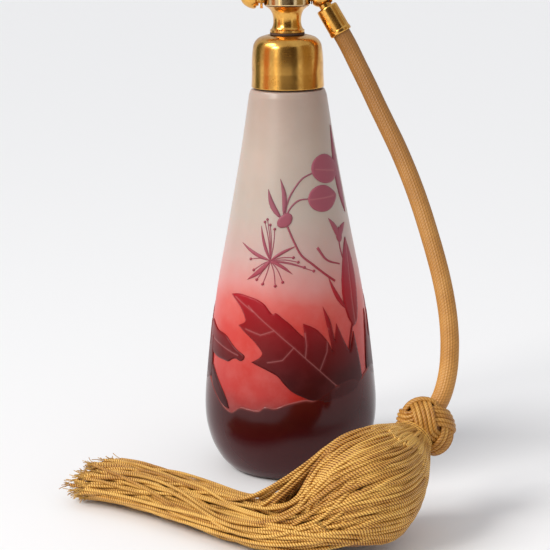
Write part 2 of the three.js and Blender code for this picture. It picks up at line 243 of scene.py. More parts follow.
def card(name, azimuth, distance, width, height, colour, glow):
    """A reflector that only shows in polished surfaces; azimuth 0 is the camera's side."""
    turn = math.radians(azimuth)
    centre = Vector((math.sin(turn) * distance, -math.cos(turn) * distance, height * 0.45))
    side = Vector((math.cos(turn), math.sin(turn), 0)) * width / 2
    lift = Vector((0, 0, height / 2))
    mesh = bpy.data.meshes.new(name)
    corners = [centre - side - lift, centre + side - lift, centre + side + lift, centre - side + lift]
    mesh.from_pydata([tuple(c) for c in corners], [], [(0, 1, 2, 3)])
    material, tree, shader = new_material(name + " card", Roughness=1.0, Emission_Strength=glow)
    shader.inputs["Base Color"].default_value = (0, 0, 0, 1)
    shader.inputs["Emission Color"].default_value = colour
    mesh.materials.append(material)
    piece = bpy.data.objects.new(name, mesh)
    scene.collection.objects.link(piece)
    piece.visible_camera = False
    piece.visible_diffuse = False
    piece.visible_shadow = False
    piece.visible_transmission = False


# name, azimuth in degrees, distance, width and height in metres, colour, glow
CARDS = [
    ("dark_left", -112, 0.9, 0.42, 0.9, srgb(96, 104, 72), 0.7),
    ("amber_left", -72, 0.9, 0.34, 0.9, srgb(214, 130, 70), 0.9),
    ("bright_left", -38, 0.9, 0.10, 0.9, srgb(255, 246, 226), 2.2),
    ("dark_middle", 22, 0.9, 0.30, 0.9, srgb(78, 56, 34), 0.5),
    ("ochre_right", 66, 0.9, 0.62, 0.9, srgb(188, 160, 110), 0.62),
    ("dark_right", 104, 0.9, 0.12, 0.9, srgb(90, 66, 38), 0.5),
    ("dim_room", 4, 1.35, 1.5, 1.3, srgb(120, 104, 90), 0.45),
]
for one in CARDS:
    card(*one)
print("stage: a floor, two lamps and", len(CARDS), "cards")


# %% [markdown]
# ## Turned pieces
# Most of the brass was cut on a lathe, so each piece is an outline turned about its axis. A real
# edge is never knife sharp: every corner gets a small round, with one extra ring beside it so that
# smooth shading stays inside the round and the long faces stay flat.

# %% Making meshes
def mesh_piece(name, points, faces, smooth=True):
    """A new object from numpy points in millimetres; faces turn outwards if they point in."""
    mesh = bpy.data.meshes.new(name)
    mesh.from_pydata((np.asarray(points, float) * MM).tolist(), [], faces)
    mesh.validate()
    if smooth:
        mesh.shade_smooth()
    piece = bpy.data.objects.new(name, mesh)
    scene.collection.objects.link(piece)
    face_outwards(mesh)
    return piece


def face_outwards(mesh):
    """Flips a closed mesh whose enclosed volume comes out negative."""
    work = bmesh.new()
    work.from_mesh(mesh)
    if work.calc_volume(signed=True) < 0:
        bmesh.ops.reverse_faces(work, faces=work.faces)
        work.to_mesh(mesh)
    work.free()


def store_values(mesh, label, values):
    """Keeps one number for each point of a mesh, for shaders to read by its label."""
    store = mesh.attributes.new(label, "FLOAT", "POINT")
    store.data.foreach_set("value", np.array(values, np.float32))


def count_triangles(piece):
    return sum(len(face.vertices) - 2 for face in piece.data.polygons)


def finish(piece, body, replaced, material=None):
    """Gives a piece its material and body, and hides the CAD nodes it stands for."""
    if material:
        piece.data.materials.clear()
        piece.data.materials.append(material)
    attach(piece, body)
    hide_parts(*replaced)
    print(piece.name + ":", count_triangles(piece), "triangles")
    return piece


def place_along(points, origin, direction):
    """Turns points made about +Z so that +Z runs along direction from origin."""
    turn = Vector((0, 0, 1)).rotation_difference(Vector(direction)).to_matrix()
    return np.asarray(points, float) @ np.array(turn).T + np.asarray(origin, float)


# %% Rounded outlines, turned about an axis
def eased(outline, radius, closed, arc_steps=3):
    """An outline with each corner rounded, and a support point beside each round."""
    points = [np.array(p, float) for p in outline]
    count = len(points)
    result = []
    for i, corner in enumerate(points):
        if not closed and i in (0, count - 1):
            result.append(corner)
            continue
        before = points[i - 1] - corner
        after = points[(i + 1) % count] - corner
        long_before, long_after = np.linalg.norm(before), np.linalg.norm(after)
        straight = np.dot(before, after) / (long_before * long_after)
        cut = min(radius, 0.3 * long_before, 0.3 * long_after)
        if straight < -0.97:
            result.append(corner)
            continue
        start = corner + before / long_before * cut
        end = corner + after / long_after * cut
        result.append(corner + before / long_before * cut * 1.5)
        for k in range(arc_steps + 1):
            t = k / arc_steps
            result.append((1 - t) ** 2 * start + 2 * t * (1 - t) * corner + t ** 2 * end)
        result.append(corner + after / long_after * cut * 1.5)
    return result


def turned(name, outline, origin=(0, 0, 0), direction=(0, 0, 1), edge=0.12, segments=96,
           ribs=0, rib_depth=0.0, ribbed_above=0.0):
    """A piece turned from (radius, distance) points. An outline that leaves the axis is closed."""
    closed = outline[0][0] > 0 or outline[-1][0] > 0
    rings = eased(outline, edge, closed)
    points, index, faces = [], [], []
    for radius, along in rings:
        if radius < 1e-6:
            index.append([len(points)] * segments)
            points.append((0, 0, along))
            continue
        row = []
        for k in range(segments):
            angle = 2 * math.pi * k / segments
            swell = 1.0
            if ribs and radius > ribbed_above:
                swell = 1 - rib_depth * (0.5 - 0.5 * math.cos(ribs * angle))
            row.append(len(points))
            points.append((radius * swell * math.cos(angle), radius * swell * math.sin(angle), along))
        index.append(row)
    last = len(rings) if closed else len(rings) - 1
    for i in range(last):
        low, high = index[i], index[(i + 1) % len(rings)]
        for k in range(segments):
            ring = [low[k], low[(k + 1) % segments], high[(k + 1) % segments], high[k]]
            corners = list(dict.fromkeys(ring))
            if len(corners) > 2:
                faces.append(corners)
    return mesh_piece(name, place_along(points, origin, direction), faces)


def joined(name, pieces):
    """Joins pieces into one mesh, without the object operators."""
    work = bmesh.new()
    for piece in pieces:
        work.from_mesh(piece.data)
        bpy.data.objects.remove(piece)
    mesh = bpy.data.meshes.new(name)
    work.to_mesh(mesh)
    work.free()
    mesh.shade_smooth()
    result = bpy.data.objects.new(name, mesh)
    scene.collection.objects.link(result)
    return result


print("outline of a square washer after easing:", len(eased([(1, 0), (2, 0), (2, 1), (1, 1)], 0.1, True)))

# %% [markdown]
# ## Shared finishes
# Effects that several materials share are node groups, built once and placed with their own sizes.
# "patchy tarnish" gives a soft mask of dull areas, "turning marks" gives the fine rings a lathe tool
# leaves about an axis, "spun silk" gives the fibre streaks and the small colour changes of silk, and
# "twisted plies" gives the crowns and grooves of the plies that a cord is twisted from.

# %% Node groups
def new_group(name, inputs, outputs):
    """A shader group with (name, socket type, default) inputs and (name, socket type) outputs."""
    tree = bpy.data.node_groups.new(name, "ShaderNodeTree")
    for label, kind, value in inputs:
        socket = tree.interface.new_socket(name=label, in_out="INPUT", socket_type=kind)
        if value is not None:
            socket.default_value = value
    for label, kind in outputs:
        tree.interface.new_socket(name=label, in_out="OUTPUT", socket_type=kind)
    return tree, tree.nodes.new("NodeGroupInput").outputs, tree.nodes.new("NodeGroupOutput").inputs


def use_group(tree, group, **inputs):
    """Places a shared group, feeds its inputs and returns its outputs."""
    node = tree.nodes.new("ShaderNodeGroup")
    node.node_tree = group
    return feed_all(tree, node, inputs).outputs


tarnish_group, given, out = new_group(
    "patchy tarnish",
    [("Vector", "NodeSocketVector", None), ("Patch Scale", "NodeSocketFloat", 120.0),
     ("Amount", "NodeSocketFloat", 0.5)],
    [("Mask", "NodeSocketFloat")])
broad = noise(tarnish_group, given["Vector"], Scale=given["Patch Scale"], Detail=6.0, Roughness=0.62)
patches = add_node(tarnish_group, "ShaderNodeMapRange", Value=broad, From_Min=0.42, From_Max=0.72)
wire(tarnish_group, sums(tarnish_group, "MULTIPLY", patches.outputs["Result"], given["Amount"]), out["Mask"])

turning_group, given, out = new_group(
    "turning marks",
    [("Vector", "NodeSocketVector", None), ("Marks Per Metre", "NodeSocketFloat", 4000.0)],
    [("Height", "NodeSocketFloat")])
split = add_node(turning_group, "ShaderNodeSeparateXYZ", Vector=given["Vector"])
squares = [sums(turning_group, "MULTIPLY", split.outputs[i], split.outputs[i]) for i in (0, 1)]
reach = sums(turning_group, "SQRT", sums(turning_group, "ADD", *squares))
profile = turning_group.nodes.new("ShaderNodeCombineXYZ")
wire(turning_group, reach, profile.inputs[0])
wire(turning_group, split.outputs[2], profile.inputs[2])
rings = noise(turning_group, profile.outputs[0], Scale=given["Marks Per Metre"], Detail=3.0, Roughness=0.7)
wire(turning_group, rings, out["Height"])

silk_group, given, out = new_group(
    "spun silk",
    [("Vector", "NodeSocketVector", None), ("Tint", "NodeSocketFloat", 0.5),
     ("Fibre Scale", "NodeSocketFloat", 5200.0)],
    [("Shade", "NodeSocketFloat"), ("Height", "NodeSocketFloat")])
cloudy = noise(silk_group, given["Vector"], Scale=90.0, Detail=4.0, Roughness=0.6)
fibres = noise(silk_group, given["Vector"], Scale=given["Fibre Scale"], Detail=2.0, Roughness=0.6)
dyed = sums(silk_group, "MULTIPLY", given["Tint"], 0.40)
shade = scaled(silk_group, cloudy, 0.45, dyed)
wire(silk_group, scaled(silk_group, fibres, 0.30, shade), out["Shade"])
wire(silk_group, fibres, out["Height"])

ply_group, given, out = new_group(
    "twisted plies",
    [("Around", "NodeSocketVector", None), ("Along", "NodeSocketFloat", None),
     ("Lay", "NodeSocketFloat", 0.002), ("Plies", "NodeSocketFloat", 2.0)],
    [("Crown", "NodeSocketFloat")])
split = add_node(ply_group, "ShaderNodeSeparateXYZ", Vector=given["Around"])
angle = sums(ply_group, "ARCTAN2", split.outputs[1], split.outputs[0])
turned_by = sums(ply_group, "MULTIPLY", sums(ply_group, "DIVIDE", given["Along"], given["Lay"]), 2 * math.pi)
phase = sums(ply_group, "MULTIPLY", sums(ply_group, "SUBTRACT", angle, turned_by),
             sums(ply_group, "MULTIPLY", given["Plies"], 0.5))
crown = sums(ply_group, "POWER", sums(ply_group, "ABSOLUTE", sums(ply_group, "COSINE", phase)), 0.7)
wire(ply_group, crown, out["Crown"])
print("groups:", [g.name for g in bpy.data.node_groups])


# %% [markdown]
# ## Silk
# All the silk was dyed together: an old gold, which the shader makes darker and browner higher up the hose,
# towards the head.
# Silk is glossy along its fibres, so the shader keeps a soft highlight and a little sheen. Each cord is
# a tube of its own, so the depth between cords is real, and the finer twist within a cord is bump plus
# painted shade in the ply grooves and painted highlight on the ply crowns, which the shader lays along it.

# %% Silk materials
# Ply crowns above this value are painted lighter and grooves below it painted darker.
MIDDLE_CROWN = 0.62


def silk_material(name, dark, middle, light, upper_brown=None, lay=0.0021, plies=2, relief=0.00024, depth=0.60):
    """Silk in three tones by the shared group's shade, with plies twisted at a lay in metres.
    relief is the plies' height, depth how much darker the grooves and lighter the crowns are painted, as
    painted shade and highlight; upper_brown is (colour, low z, high z), a darker brown the colour turns to
    between those heights."""
    material, tree, shader = new_material(
        name, Roughness=0.44, Sheen_Weight=0.08, Sheen_Roughness=0.4, Specular_IOR_Level=0.45)
    shader.inputs["Sheen Tint"].default_value = srgb(255, 226, 170)
    place = object_space(tree)
    silk = use_group(tree, silk_group, Vector=place, Tint=named_value(tree, "tint"))
    crown = use_group(tree, ply_group, Around=named_value(tree, "around", "Vector"),
                      Along=named_value(tree, "along"), Lay=lay, Plies=plies)["Crown"]
    # Painted highlight on the ply crowns and painted shade in the ply grooves, added to the tone.
    ply_light_and_shade = sums(tree, "MULTIPLY", sums(tree, "SUBTRACT", crown, MIDDLE_CROWN), depth)
    shade = sums(tree, "ADD", silk["Shade"], ply_light_and_shade)
    colour = ramp(tree, shade, [(0.24, dark), (0.55, middle), (0.86, light)])
    # Between the two heights the colour turns darker and browner, higher up the hose.
    if upper_brown:
        brown, low, high = upper_brown
        height = height_in(tree, place)
        rising_share = add_node(tree, "ShaderNodeMapRange", Value=height, From_Min=low, From_Max=high)
        browner = blend_colours(tree, sums(tree, "MULTIPLY", shade, 0.8), brown, middle)
        colour = blend_colours(tree, rising_share.outputs["Result"], colour, browner)
    wire(tree, colour, shader.inputs["Base Color"])
    height = sums(tree, "ADD", crown, sums(tree, "MULTIPLY", silk["Height"], 0.3))
    bump(tree, shader, height, relief, 0.8)
    return material


cord_silk = silk_material("old gold cord", srgb(88, 46, 6), srgb(176, 112, 30), srgb(240, 190, 96))
knot_silk = silk_material(
    "knot cord", srgb(92, 50, 8), srgb(166, 106, 30), srgb(234, 184, 96),
    lay=0.0036, plies=3, relief=0.00010, depth=0.20)
hose_silk = silk_material(
    "hose braid", srgb(140, 88, 32), srgb(192, 132, 58), srgb(226, 172, 96),
    (srgb(108, 66, 28), 0.045, 0.150), lay=0.012, plies=10, relief=0.00010, depth=0.16)
# A darker copy of the cord silk: painted shade for the knot's core between its cords.
shaded_core_silk = silk_material("shaded silk", srgb(92, 52, 18), srgb(138, 86, 34), srgb(170, 112, 50))
print("silks:", cord_silk.name, hose_silk.name, shaded_core_silk.name)


# %% [markdown]
# ## Cord makers
# A cord is a line that a round, lobed section follows while it twists. That is a rule along a path,
# which is what Geometry Nodes are good at, so it is one tree with named sizes, and it serves cords,
# threads and the ribbed sleeve of the hose. Only the thread on the net's tail is lobed and twisted in
# shape: the many fine cords and the knot take a plain round section. The lines come in as mesh edges,
# and the tube that comes out is a plain mesh that remembers the way along and around for the shader.

# %% Geometry Nodes: the twisted cord
# So long a lay, in metres, that a section keeps its turn all the way.
NO_TWIST = 3.0


def new_rule(name, inputs):
    tree = bpy.data.node_groups.new(name, "GeometryNodeTree")
    tree.interface.new_socket(name="Geometry", in_out="INPUT", socket_type="NodeSocketGeometry")
    for label, kind, value in inputs:
        socket = tree.interface.new_socket(name=label, in_out="INPUT", socket_type=kind)
        if value is not None:
            socket.default_value = value
    tree.interface.new_socket(name="Geometry", in_out="OUTPUT", socket_type="NodeSocketGeometry")
    return tree, tree.nodes.new("NodeGroupInput").outputs, tree.nodes.new("NodeGroupOutput").inputs


def vectors(tree, operation, first, second=None, scale=None):
    node = tree.nodes.new("ShaderNodeVectorMath")
    node.operation = operation
    wire(tree, first, node.inputs[0])
    if second is not None:
        wire(tree, second, node.inputs[1])
    if scale is not None:
        wire(tree, scale, node.inputs["Scale"])
    return node.outputs[0]


def close_rule(tree, given, out, tube):
    """The last nodes of a rule: smooth shading, real geometry and its material."""
    smooth = tree.nodes.new("GeometryNodeSetShadeSmooth")
    real = tree.nodes.new("GeometryNodeRealizeInstances")
    paint = tree.nodes.new("GeometryNodeSetMaterial")
    wire(tree, tube, smooth.inputs["Geometry"])
    wire(tree, smooth.outputs[0], real.inputs[0])
    wire(tree, real.outputs[0], paint.inputs["Geometry"])
    wire(tree, given["Material"], paint.inputs["Material"])
    wire(tree, paint.outputs[0], out["Geometry"])


twist_rule, given, out = new_rule(
    "twisted cord",
    [("Radius", "NodeSocketFloat", 0.00065), ("Lay", "NodeSocketFloat", 0.0026),
     ("Plies", "NodeSocketInt", 2), ("Groove", "NodeSocketFloat", 0.2),
     ("Section Points", "NodeSocketInt", 8), ("Material", "NodeSocketMaterial", None)])
lines = twist_rule.nodes.new("GeometryNodeMeshToCurve")
wire(twist_rule, given["Geometry"], lines.inputs["Mesh"])
travel = twist_rule.nodes.new("GeometryNodeSplineParameter").outputs["Length"]
turns = sums(twist_rule, "DIVIDE", travel, given["Lay"])
tilt = twist_rule.nodes.new("GeometryNodeSetCurveTilt")
wire(twist_rule, lines.outputs["Curve"], tilt.inputs["Curve"])
wire(twist_rule, sums(twist_rule, "MULTIPLY", turns, 2 * math.pi), tilt.inputs["Tilt"])
ring = twist_rule.nodes.new("GeometryNodeCurvePrimitiveCircle")
wire(twist_rule, given["Section Points"], ring.inputs["Resolution"])
wire(twist_rule, given["Radius"], ring.inputs["Radius"])
share = twist_rule.nodes.new("GeometryNodeSplineParameter").outputs["Factor"]
lobe = sums(twist_rule, "COSINE", sums(
    twist_rule, "MULTIPLY", sums(twist_rule, "MULTIPLY", share, 2 * math.pi), given["Plies"]))
swell = sums(twist_rule, "ADD", sums(twist_rule, "MULTIPLY", lobe, given["Groove"]), 1.0)
swell = sums(twist_rule, "SUBTRACT", swell, given["Groove"])
where = twist_rule.nodes.new("GeometryNodeInputPosition").outputs[0]
shape = twist_rule.nodes.new("GeometryNodeSetPosition")
wire(twist_rule, ring.outputs["Curve"], shape.inputs["Geometry"])
wire(twist_rule, vectors(twist_rule, "SCALE", where, scale=swell), shape.inputs["Position"])
around = twist_rule.nodes.new("GeometryNodeStoreNamedAttribute")
around.data_type = "FLOAT_VECTOR"
around.inputs["Name"].default_value = "around"
wire(twist_rule, shape.outputs["Geometry"], around.inputs["Geometry"])
wire(twist_rule, vectors(twist_rule, "NORMALIZE", where), around.inputs["Value"])
sweep = twist_rule.nodes.new("GeometryNodeCurveToMesh")
sweep.inputs["Fill Caps"].default_value = True
wire(twist_rule, tilt.outputs["Curve"], sweep.inputs["Curve"])
wire(twist_rule, around.outputs["Geometry"], sweep.inputs["Profile Curve"])
close_rule(twist_rule, given, out, sweep.outputs["Mesh"])

# %% Lines in, mesh out
def made_by_rule(name, lines, rule, tints=None, rings=False, starts=None, **inputs):
    """Runs a rule on lines of millimetre points and returns the plain mesh it makes.
    tints gives each line a colour value from 0 to 1, rings closes each line on itself, and starts
    says how far along its cord, in mm, each line begins."""
    points, edges, tint, along = [], [], [], []
    for k, line_points in enumerate(lines):
        first = len(points)
        points.extend(line_points)
        tint.extend([0.5 if tints is None else tints[k]] * len(line_points))
        steps = np.linalg.norm(np.diff(np.asarray(line_points, float), axis=0), axis=1)
        along.extend((np.concatenate([[0], np.cumsum(steps)]) + (starts[k] if starts else 0)) * MM)
        edges.extend((first + i, first + i + 1) for i in range(len(line_points) - 1))
        if rings:
            edges.append((len(points) - 1, first))
    mesh = bpy.data.meshes.new(name + "_lines")
    mesh.from_pydata((np.asarray(points, float) * MM).tolist(), edges, [])
    store_values(mesh, "tint", tint)
    store_values(mesh, "along", along)
    source = bpy.data.objects.new(name + "_lines", mesh)
    scene.collection.objects.link(source)
    modifier = source.modifiers.new("rule", "NODES")
    modifier.node_group = rule
    sockets = {item.name: item.identifier for item in rule.interface.items_tree
               if item.in_out == "INPUT"}
    for label, value in inputs.items():
        modifier[sockets[label.replace("_", " ")]] = value
    graph = bpy.context.evaluated_depsgraph_get()
    made = bpy.data.meshes.new_from_object(source.evaluated_get(graph), depsgraph=graph)
    made.name = name
    bpy.data.objects.remove(source)
    piece = bpy.data.objects.new(name, made)
    scene.collection.objects.link(piece)
    face_outwards(made)
    return piece


def smooth_path(points, spacing):
    """Points a fixed distance apart on a centripetal Catmull-Rom curve through points."""
    given_points = np.asarray(points, float)
    padded = np.vstack([2 * given_points[0] - given_points[1], given_points,
                        2 * given_points[-1] - given_points[-2]])
    knots = np.concatenate([[0], np.cumsum(np.sqrt(np.linalg.norm(np.diff(padded, axis=0), axis=1)))])
    dense = []
    for i in range(1, len(padded) - 2):
        t0, t1, t2, t3 = knots[i - 1:i + 3]
        p0, p1, p2, p3 = padded[i - 1:i + 3]
        t = np.linspace(t1, t2, 12, endpoint=False)[:, None]
        a1 = (t1 - t) / (t1 - t0) * p0 + (t - t0) / (t1 - t0) * p1
        a2 = (t2 - t) / (t2 - t1) * p1 + (t - t1) / (t2 - t1) * p2
        a3 = (t3 - t) / (t3 - t2) * p2 + (t - t2) / (t3 - t2) * p3
        b1 = (t2 - t) / (t2 - t0) * a1 + (t - t0) / (t2 - t0) * a2
        b2 = (t3 - t) / (t3 - t1) * a2 + (t - t1) / (t3 - t1) * a3
        dense.append((t2 - t) / (t2 - t1) * b1 + (t - t1) / (t2 - t1) * b2)
    dense = np.vstack(dense + [given_points[-1:]])
    travelled = np.concatenate([[0], np.cumsum(np.linalg.norm(np.diff(dense, axis=0), axis=1))])
    count = max(2, int(round(travelled[-1] / spacing)) + 1)
    stops = np.linspace(0, travelled[-1], count)
    return np.column_stack([np.interp(stops, travelled, dense[:, k]) for k in range(3)])


# %% [markdown]
# ## The hose
# A thin rubber tube in a braided silk sleeve brings the air up from the bulb. It leaves the ferrule
# under the elbow, falls in one easy curve to the right of the flask and goes into the knot. It is a
# free cord, so its route is a list of given points, and its length is the real one.

# %% Hose route and braid
HOSE_ROUTE = [
    (18.85, -1.48, 177.75), (23.26, -2.76, 170.0), (27.1, -5.1, 162.2), (30.8, -8.4, 154.7),
    (34.3, -12.0, 147.2), (37.9, -15.8, 139.8), (41.4, -19.6, 132.5), (44.6, -23.5, 125.0),
    (47.5, -27.5, 117.5), (50.1, -31.5, 109.8), (52.4, -35.4, 102.1), (54.6, -39.3, 94.2),
    (56.5, -43.0, 86.3), (58.0, -46.6, 78.1), (58.9, -50.0, 69.8), (59.0, -53.1, 61.4),
    (58.1, -56.0, 52.9), (55.6, -59.2, 44.9), (51.0, -63.2, 38.3), (45.97, -68.34, 32.86)]
HOSE_DIAMETER = 7.0
HOSE_STEP = 0.8
HOSE_RIBS = 22
hose_line = smooth_path(HOSE_ROUTE, HOSE_STEP)
hose = made_by_rule(
    "braided_hose_silk", [hose_line], twist_rule, Radius=HOSE_DIAMETER / 2 * MM, Lay=NO_TWIST,
    Plies=HOSE_RIBS, Groove=0.022, Section_Points=HOSE_RIBS * 6, Material=hose_silk)
finish(hose, "bulb", ["braided_hose"], hose_silk)

# %% [markdown]
# ## The glass flask
# The flask is cased glass: a pale body, shading to coral and ruby, under a thin dark ruby layer that
# acid has eaten away except where flowers, leaves and the foot remain. The body is one outline turned
# about its axis, closed by its cavity, and its colour is a ramp up its height, made cloudy by noise,
# because the colour of such glass is in the glass itself.

# %% Flask outline
def spline(points, steps):
    """A uniform Catmull-Rom curve through points, as a list of points."""
    last = len(points) - 1
    result = []
    for k in range(steps + 1):
        place = last * k / steps
        i = min(int(place), last - 1)
        t = place - i
        p0, p1, p2, p3 = (np.array(points[min(max(j, 0), last)], float) for j in range(i - 1, i + 3))
        slope_1, slope_2 = (p2 - p0) / 2, (p3 - p1) / 2
        result.append((2 * t ** 3 - 3 * t ** 2 + 1) * p1 + (t ** 3 - 2 * t ** 2 + t) * slope_1
                      + (-2 * t ** 3 + 3 * t ** 2) * p2 + (t ** 3 - t ** 2) * slope_2)
    return [tuple(p) for p in result]


FLASK_SIDE = [(24.6, 0.5), (28.7, 5), (32.4, 13), (34.15, 24), (33, 41), (29.3, 71),
              (23.8, 100.5), (18.5, 129.4), (15.2, 150.6)]
FLASK_SHOULDER = [(14.4, 152.7), (11, 153.3), (10.4, 154), (10.4, 165.2), (7, 165.2), (7, 152),
                  (8.4, 148)]
FLASK_CAVITY = [(15.2, 124), (19.8, 100.5), (25.3, 71), (29, 41), (29.6, 24), (25, 12), (14, 9.6)]
side_line = spline(FLASK_SIDE, 150)
SIDE_Z = np.array([p[1] for p in side_line])
SIDE_R = np.array([p[0] for p in side_line])


def glass_radius(z):
    return np.interp(z, SIDE_Z, SIDE_R)


print("flask: widest", round(float(SIDE_R.max()), 2), "mm at z", round(float(SIDE_Z[SIDE_R.argmax()]), 1))

# %% Flask glass
FLASK_TOP_M = 0.1506
ETCH_DEPTH_M = 0.00003


def height_share(tree, wander):
    """Height on the flask from 0 at the foot to 1 at the collar, moved up and down by noise."""
    place = object_space(tree)
    cloud = noise(tree, place, Scale=42.0, Detail=3.0, Roughness=0.55)
    shift = sums(tree, "MULTIPLY", sums(tree, "SUBTRACT", cloud, 0.5), wander)
    return sums(tree, "ADD", sums(tree, "DIVIDE", height_in(tree, place), FLASK_TOP_M), shift), place


satin_glass, tree, shader = new_material(
    "satin cased glass", Roughness=0.40, IOR=1.5, Subsurface_Weight=0.25, Subsurface_Scale=0.004,
    Coat_Weight=0.12, Coat_Roughness=0.25)
shader.inputs["Subsurface Radius"].default_value = (1.0, 0.35, 0.25)
share, place = height_share(tree, 0.06)
body_colour = ramp(tree, share, [
    (0.0, srgb(60, 10, 14)), (0.20, srgb(140, 20, 16)), (0.25, srgb(178, 28, 18)),
    (0.34, srgb(192, 38, 26)), (0.42, srgb(200, 54, 44)), (0.48, srgb(206, 86, 78)),
    (0.53, srgb(204, 132, 126)), (0.60, srgb(192, 156, 148)), (0.70, srgb(182, 166, 154)),
    (0.86, srgb(182, 164, 150)), (1.0, srgb(172, 150, 136))])
mottle = noise(tree, place, Scale=110.0, Detail=5.0, Roughness=0.6)
cloudy = excess(tree, mottle, 0.42, 0.28)
wire(tree, blend_colours(tree, cloudy, body_colour, srgb(226, 190, 180)), shader.inputs["Base Color"])
wire(tree, scaled(tree, mottle, 0.16, 0.30), shader.inputs["Roughness"])
etched = noise(tree, place, Scale=2400.0, Detail=2.0, Roughness=0.5)
bump(tree, shader, etched, ETCH_DEPTH_M, 0.5)

flask_outline = [(0, 0), (22, 0), (23.6, 0.1)] + side_line + FLASK_SHOULDER
flask_outline += spline(FLASK_CAVITY, 40) + [(0, 9.4)]
flask = turned("cameo_flask", flask_outline, edge=0.35, segments=224)
finish(flask, "bottle", ["glass_bottle"], satin_glass)

# %% [markdown]
# ## The ruby relief
# What the acid left stands about 0.4 mm proud, with a crisp edge and finely cut veins. Each shape is
# drawn flat, as degrees round the flask and millimetres up it, filled with triangles between its
# outline, its veins and an even grid, and then wrapped on the flask's surface. The motif is a plain
# garden one: broad toothed leaves, seed heads on thin stems and a star flower with long stamens.

# %% Wrapping a flat shape on the flask
RELIEF_SUNK = 0.25
GRID = 0.75
ROW_SHARE = 0.87
EDGE_STEP = 0.5
EDGE_CLEAR = 0.22
EDGE_HEIGHT, EDGE_ROUND = 0.62, 0.5
VEIN_DEPTH, VEIN_WIDTH = 0.14, 0.22
VEIN_FLANK, VEIN_CLEAR = 0.3, 0.5
NO_VEIN = 9.0


def soft_corners(points, share=0.42, tip_turn=112, steps=3):
    """Rounds the blunt corners of a closed outline and leaves the sharp tips."""
    pts = [np.array(p, float) for p in points]
    result = []
    for i, corner in enumerate(pts):
        before, after = pts[i - 1] - corner, pts[(i + 1) % len(pts)] - corner
        cosine = np.dot(before, after) / (np.linalg.norm(before) * np.linalg.norm(after))
        if math.degrees(math.acos(max(-1, min(1, -cosine)))) > tip_turn:
            result.append(corner)
            continue
        start, end = corner + before * share, corner + after * share
        for k in range(steps + 1):
            t = k / steps
            result.append((1 - t) ** 2 * start + 2 * t * (1 - t) * corner + t ** 2 * end)
    return result


def evenly(points, spacing, closed):
    """Points added along each side so that none is much further apart than spacing."""
    result = []
    count = len(points) if closed else len(points) - 1
    for i in range(count):
        a, b = np.array(points[i], float), np.array(points[(i + 1) % len(points)], float)
        parts = max(1, int(math.ceil(np.linalg.norm(b - a) / spacing)))
        result.extend(a + (b - a) * k / parts for k in range(parts))
    if not closed:
        result.append(np.array(points[-1], float))
    return result


def distance_to_lines(points, lines):
    """The shortest distance from each point to any segment of the lines."""
    best = np.full(len(points), 1e9)
    for line in lines:
        for a, b in zip(line[:-1], line[1:]):
            along = b - a
            size = max(float(along @ along), 1e-12)
            t = np.clip(((points - a) @ along) / size, 0, 1)
            best = np.minimum(best, np.linalg.norm(points - (a + t[:, None] * along), axis=1))
    return best


def inside(points, outline):
    """Which points lie inside a closed outline, by counting crossings."""
    result = np.zeros(len(points), bool)
    for (x1, y1), (x2, y2) in zip(outline, np.roll(outline, -1, axis=0)):
        if y1 == y2:
            continue
        crosses = (y1 > points[:, 1]) != (y2 > points[:, 1])
        at = (x2 - x1) * (points[:, 1] - y1) / (y2 - y1) + x1
        result ^= crosses & (points[:, 0] < at)
    return result


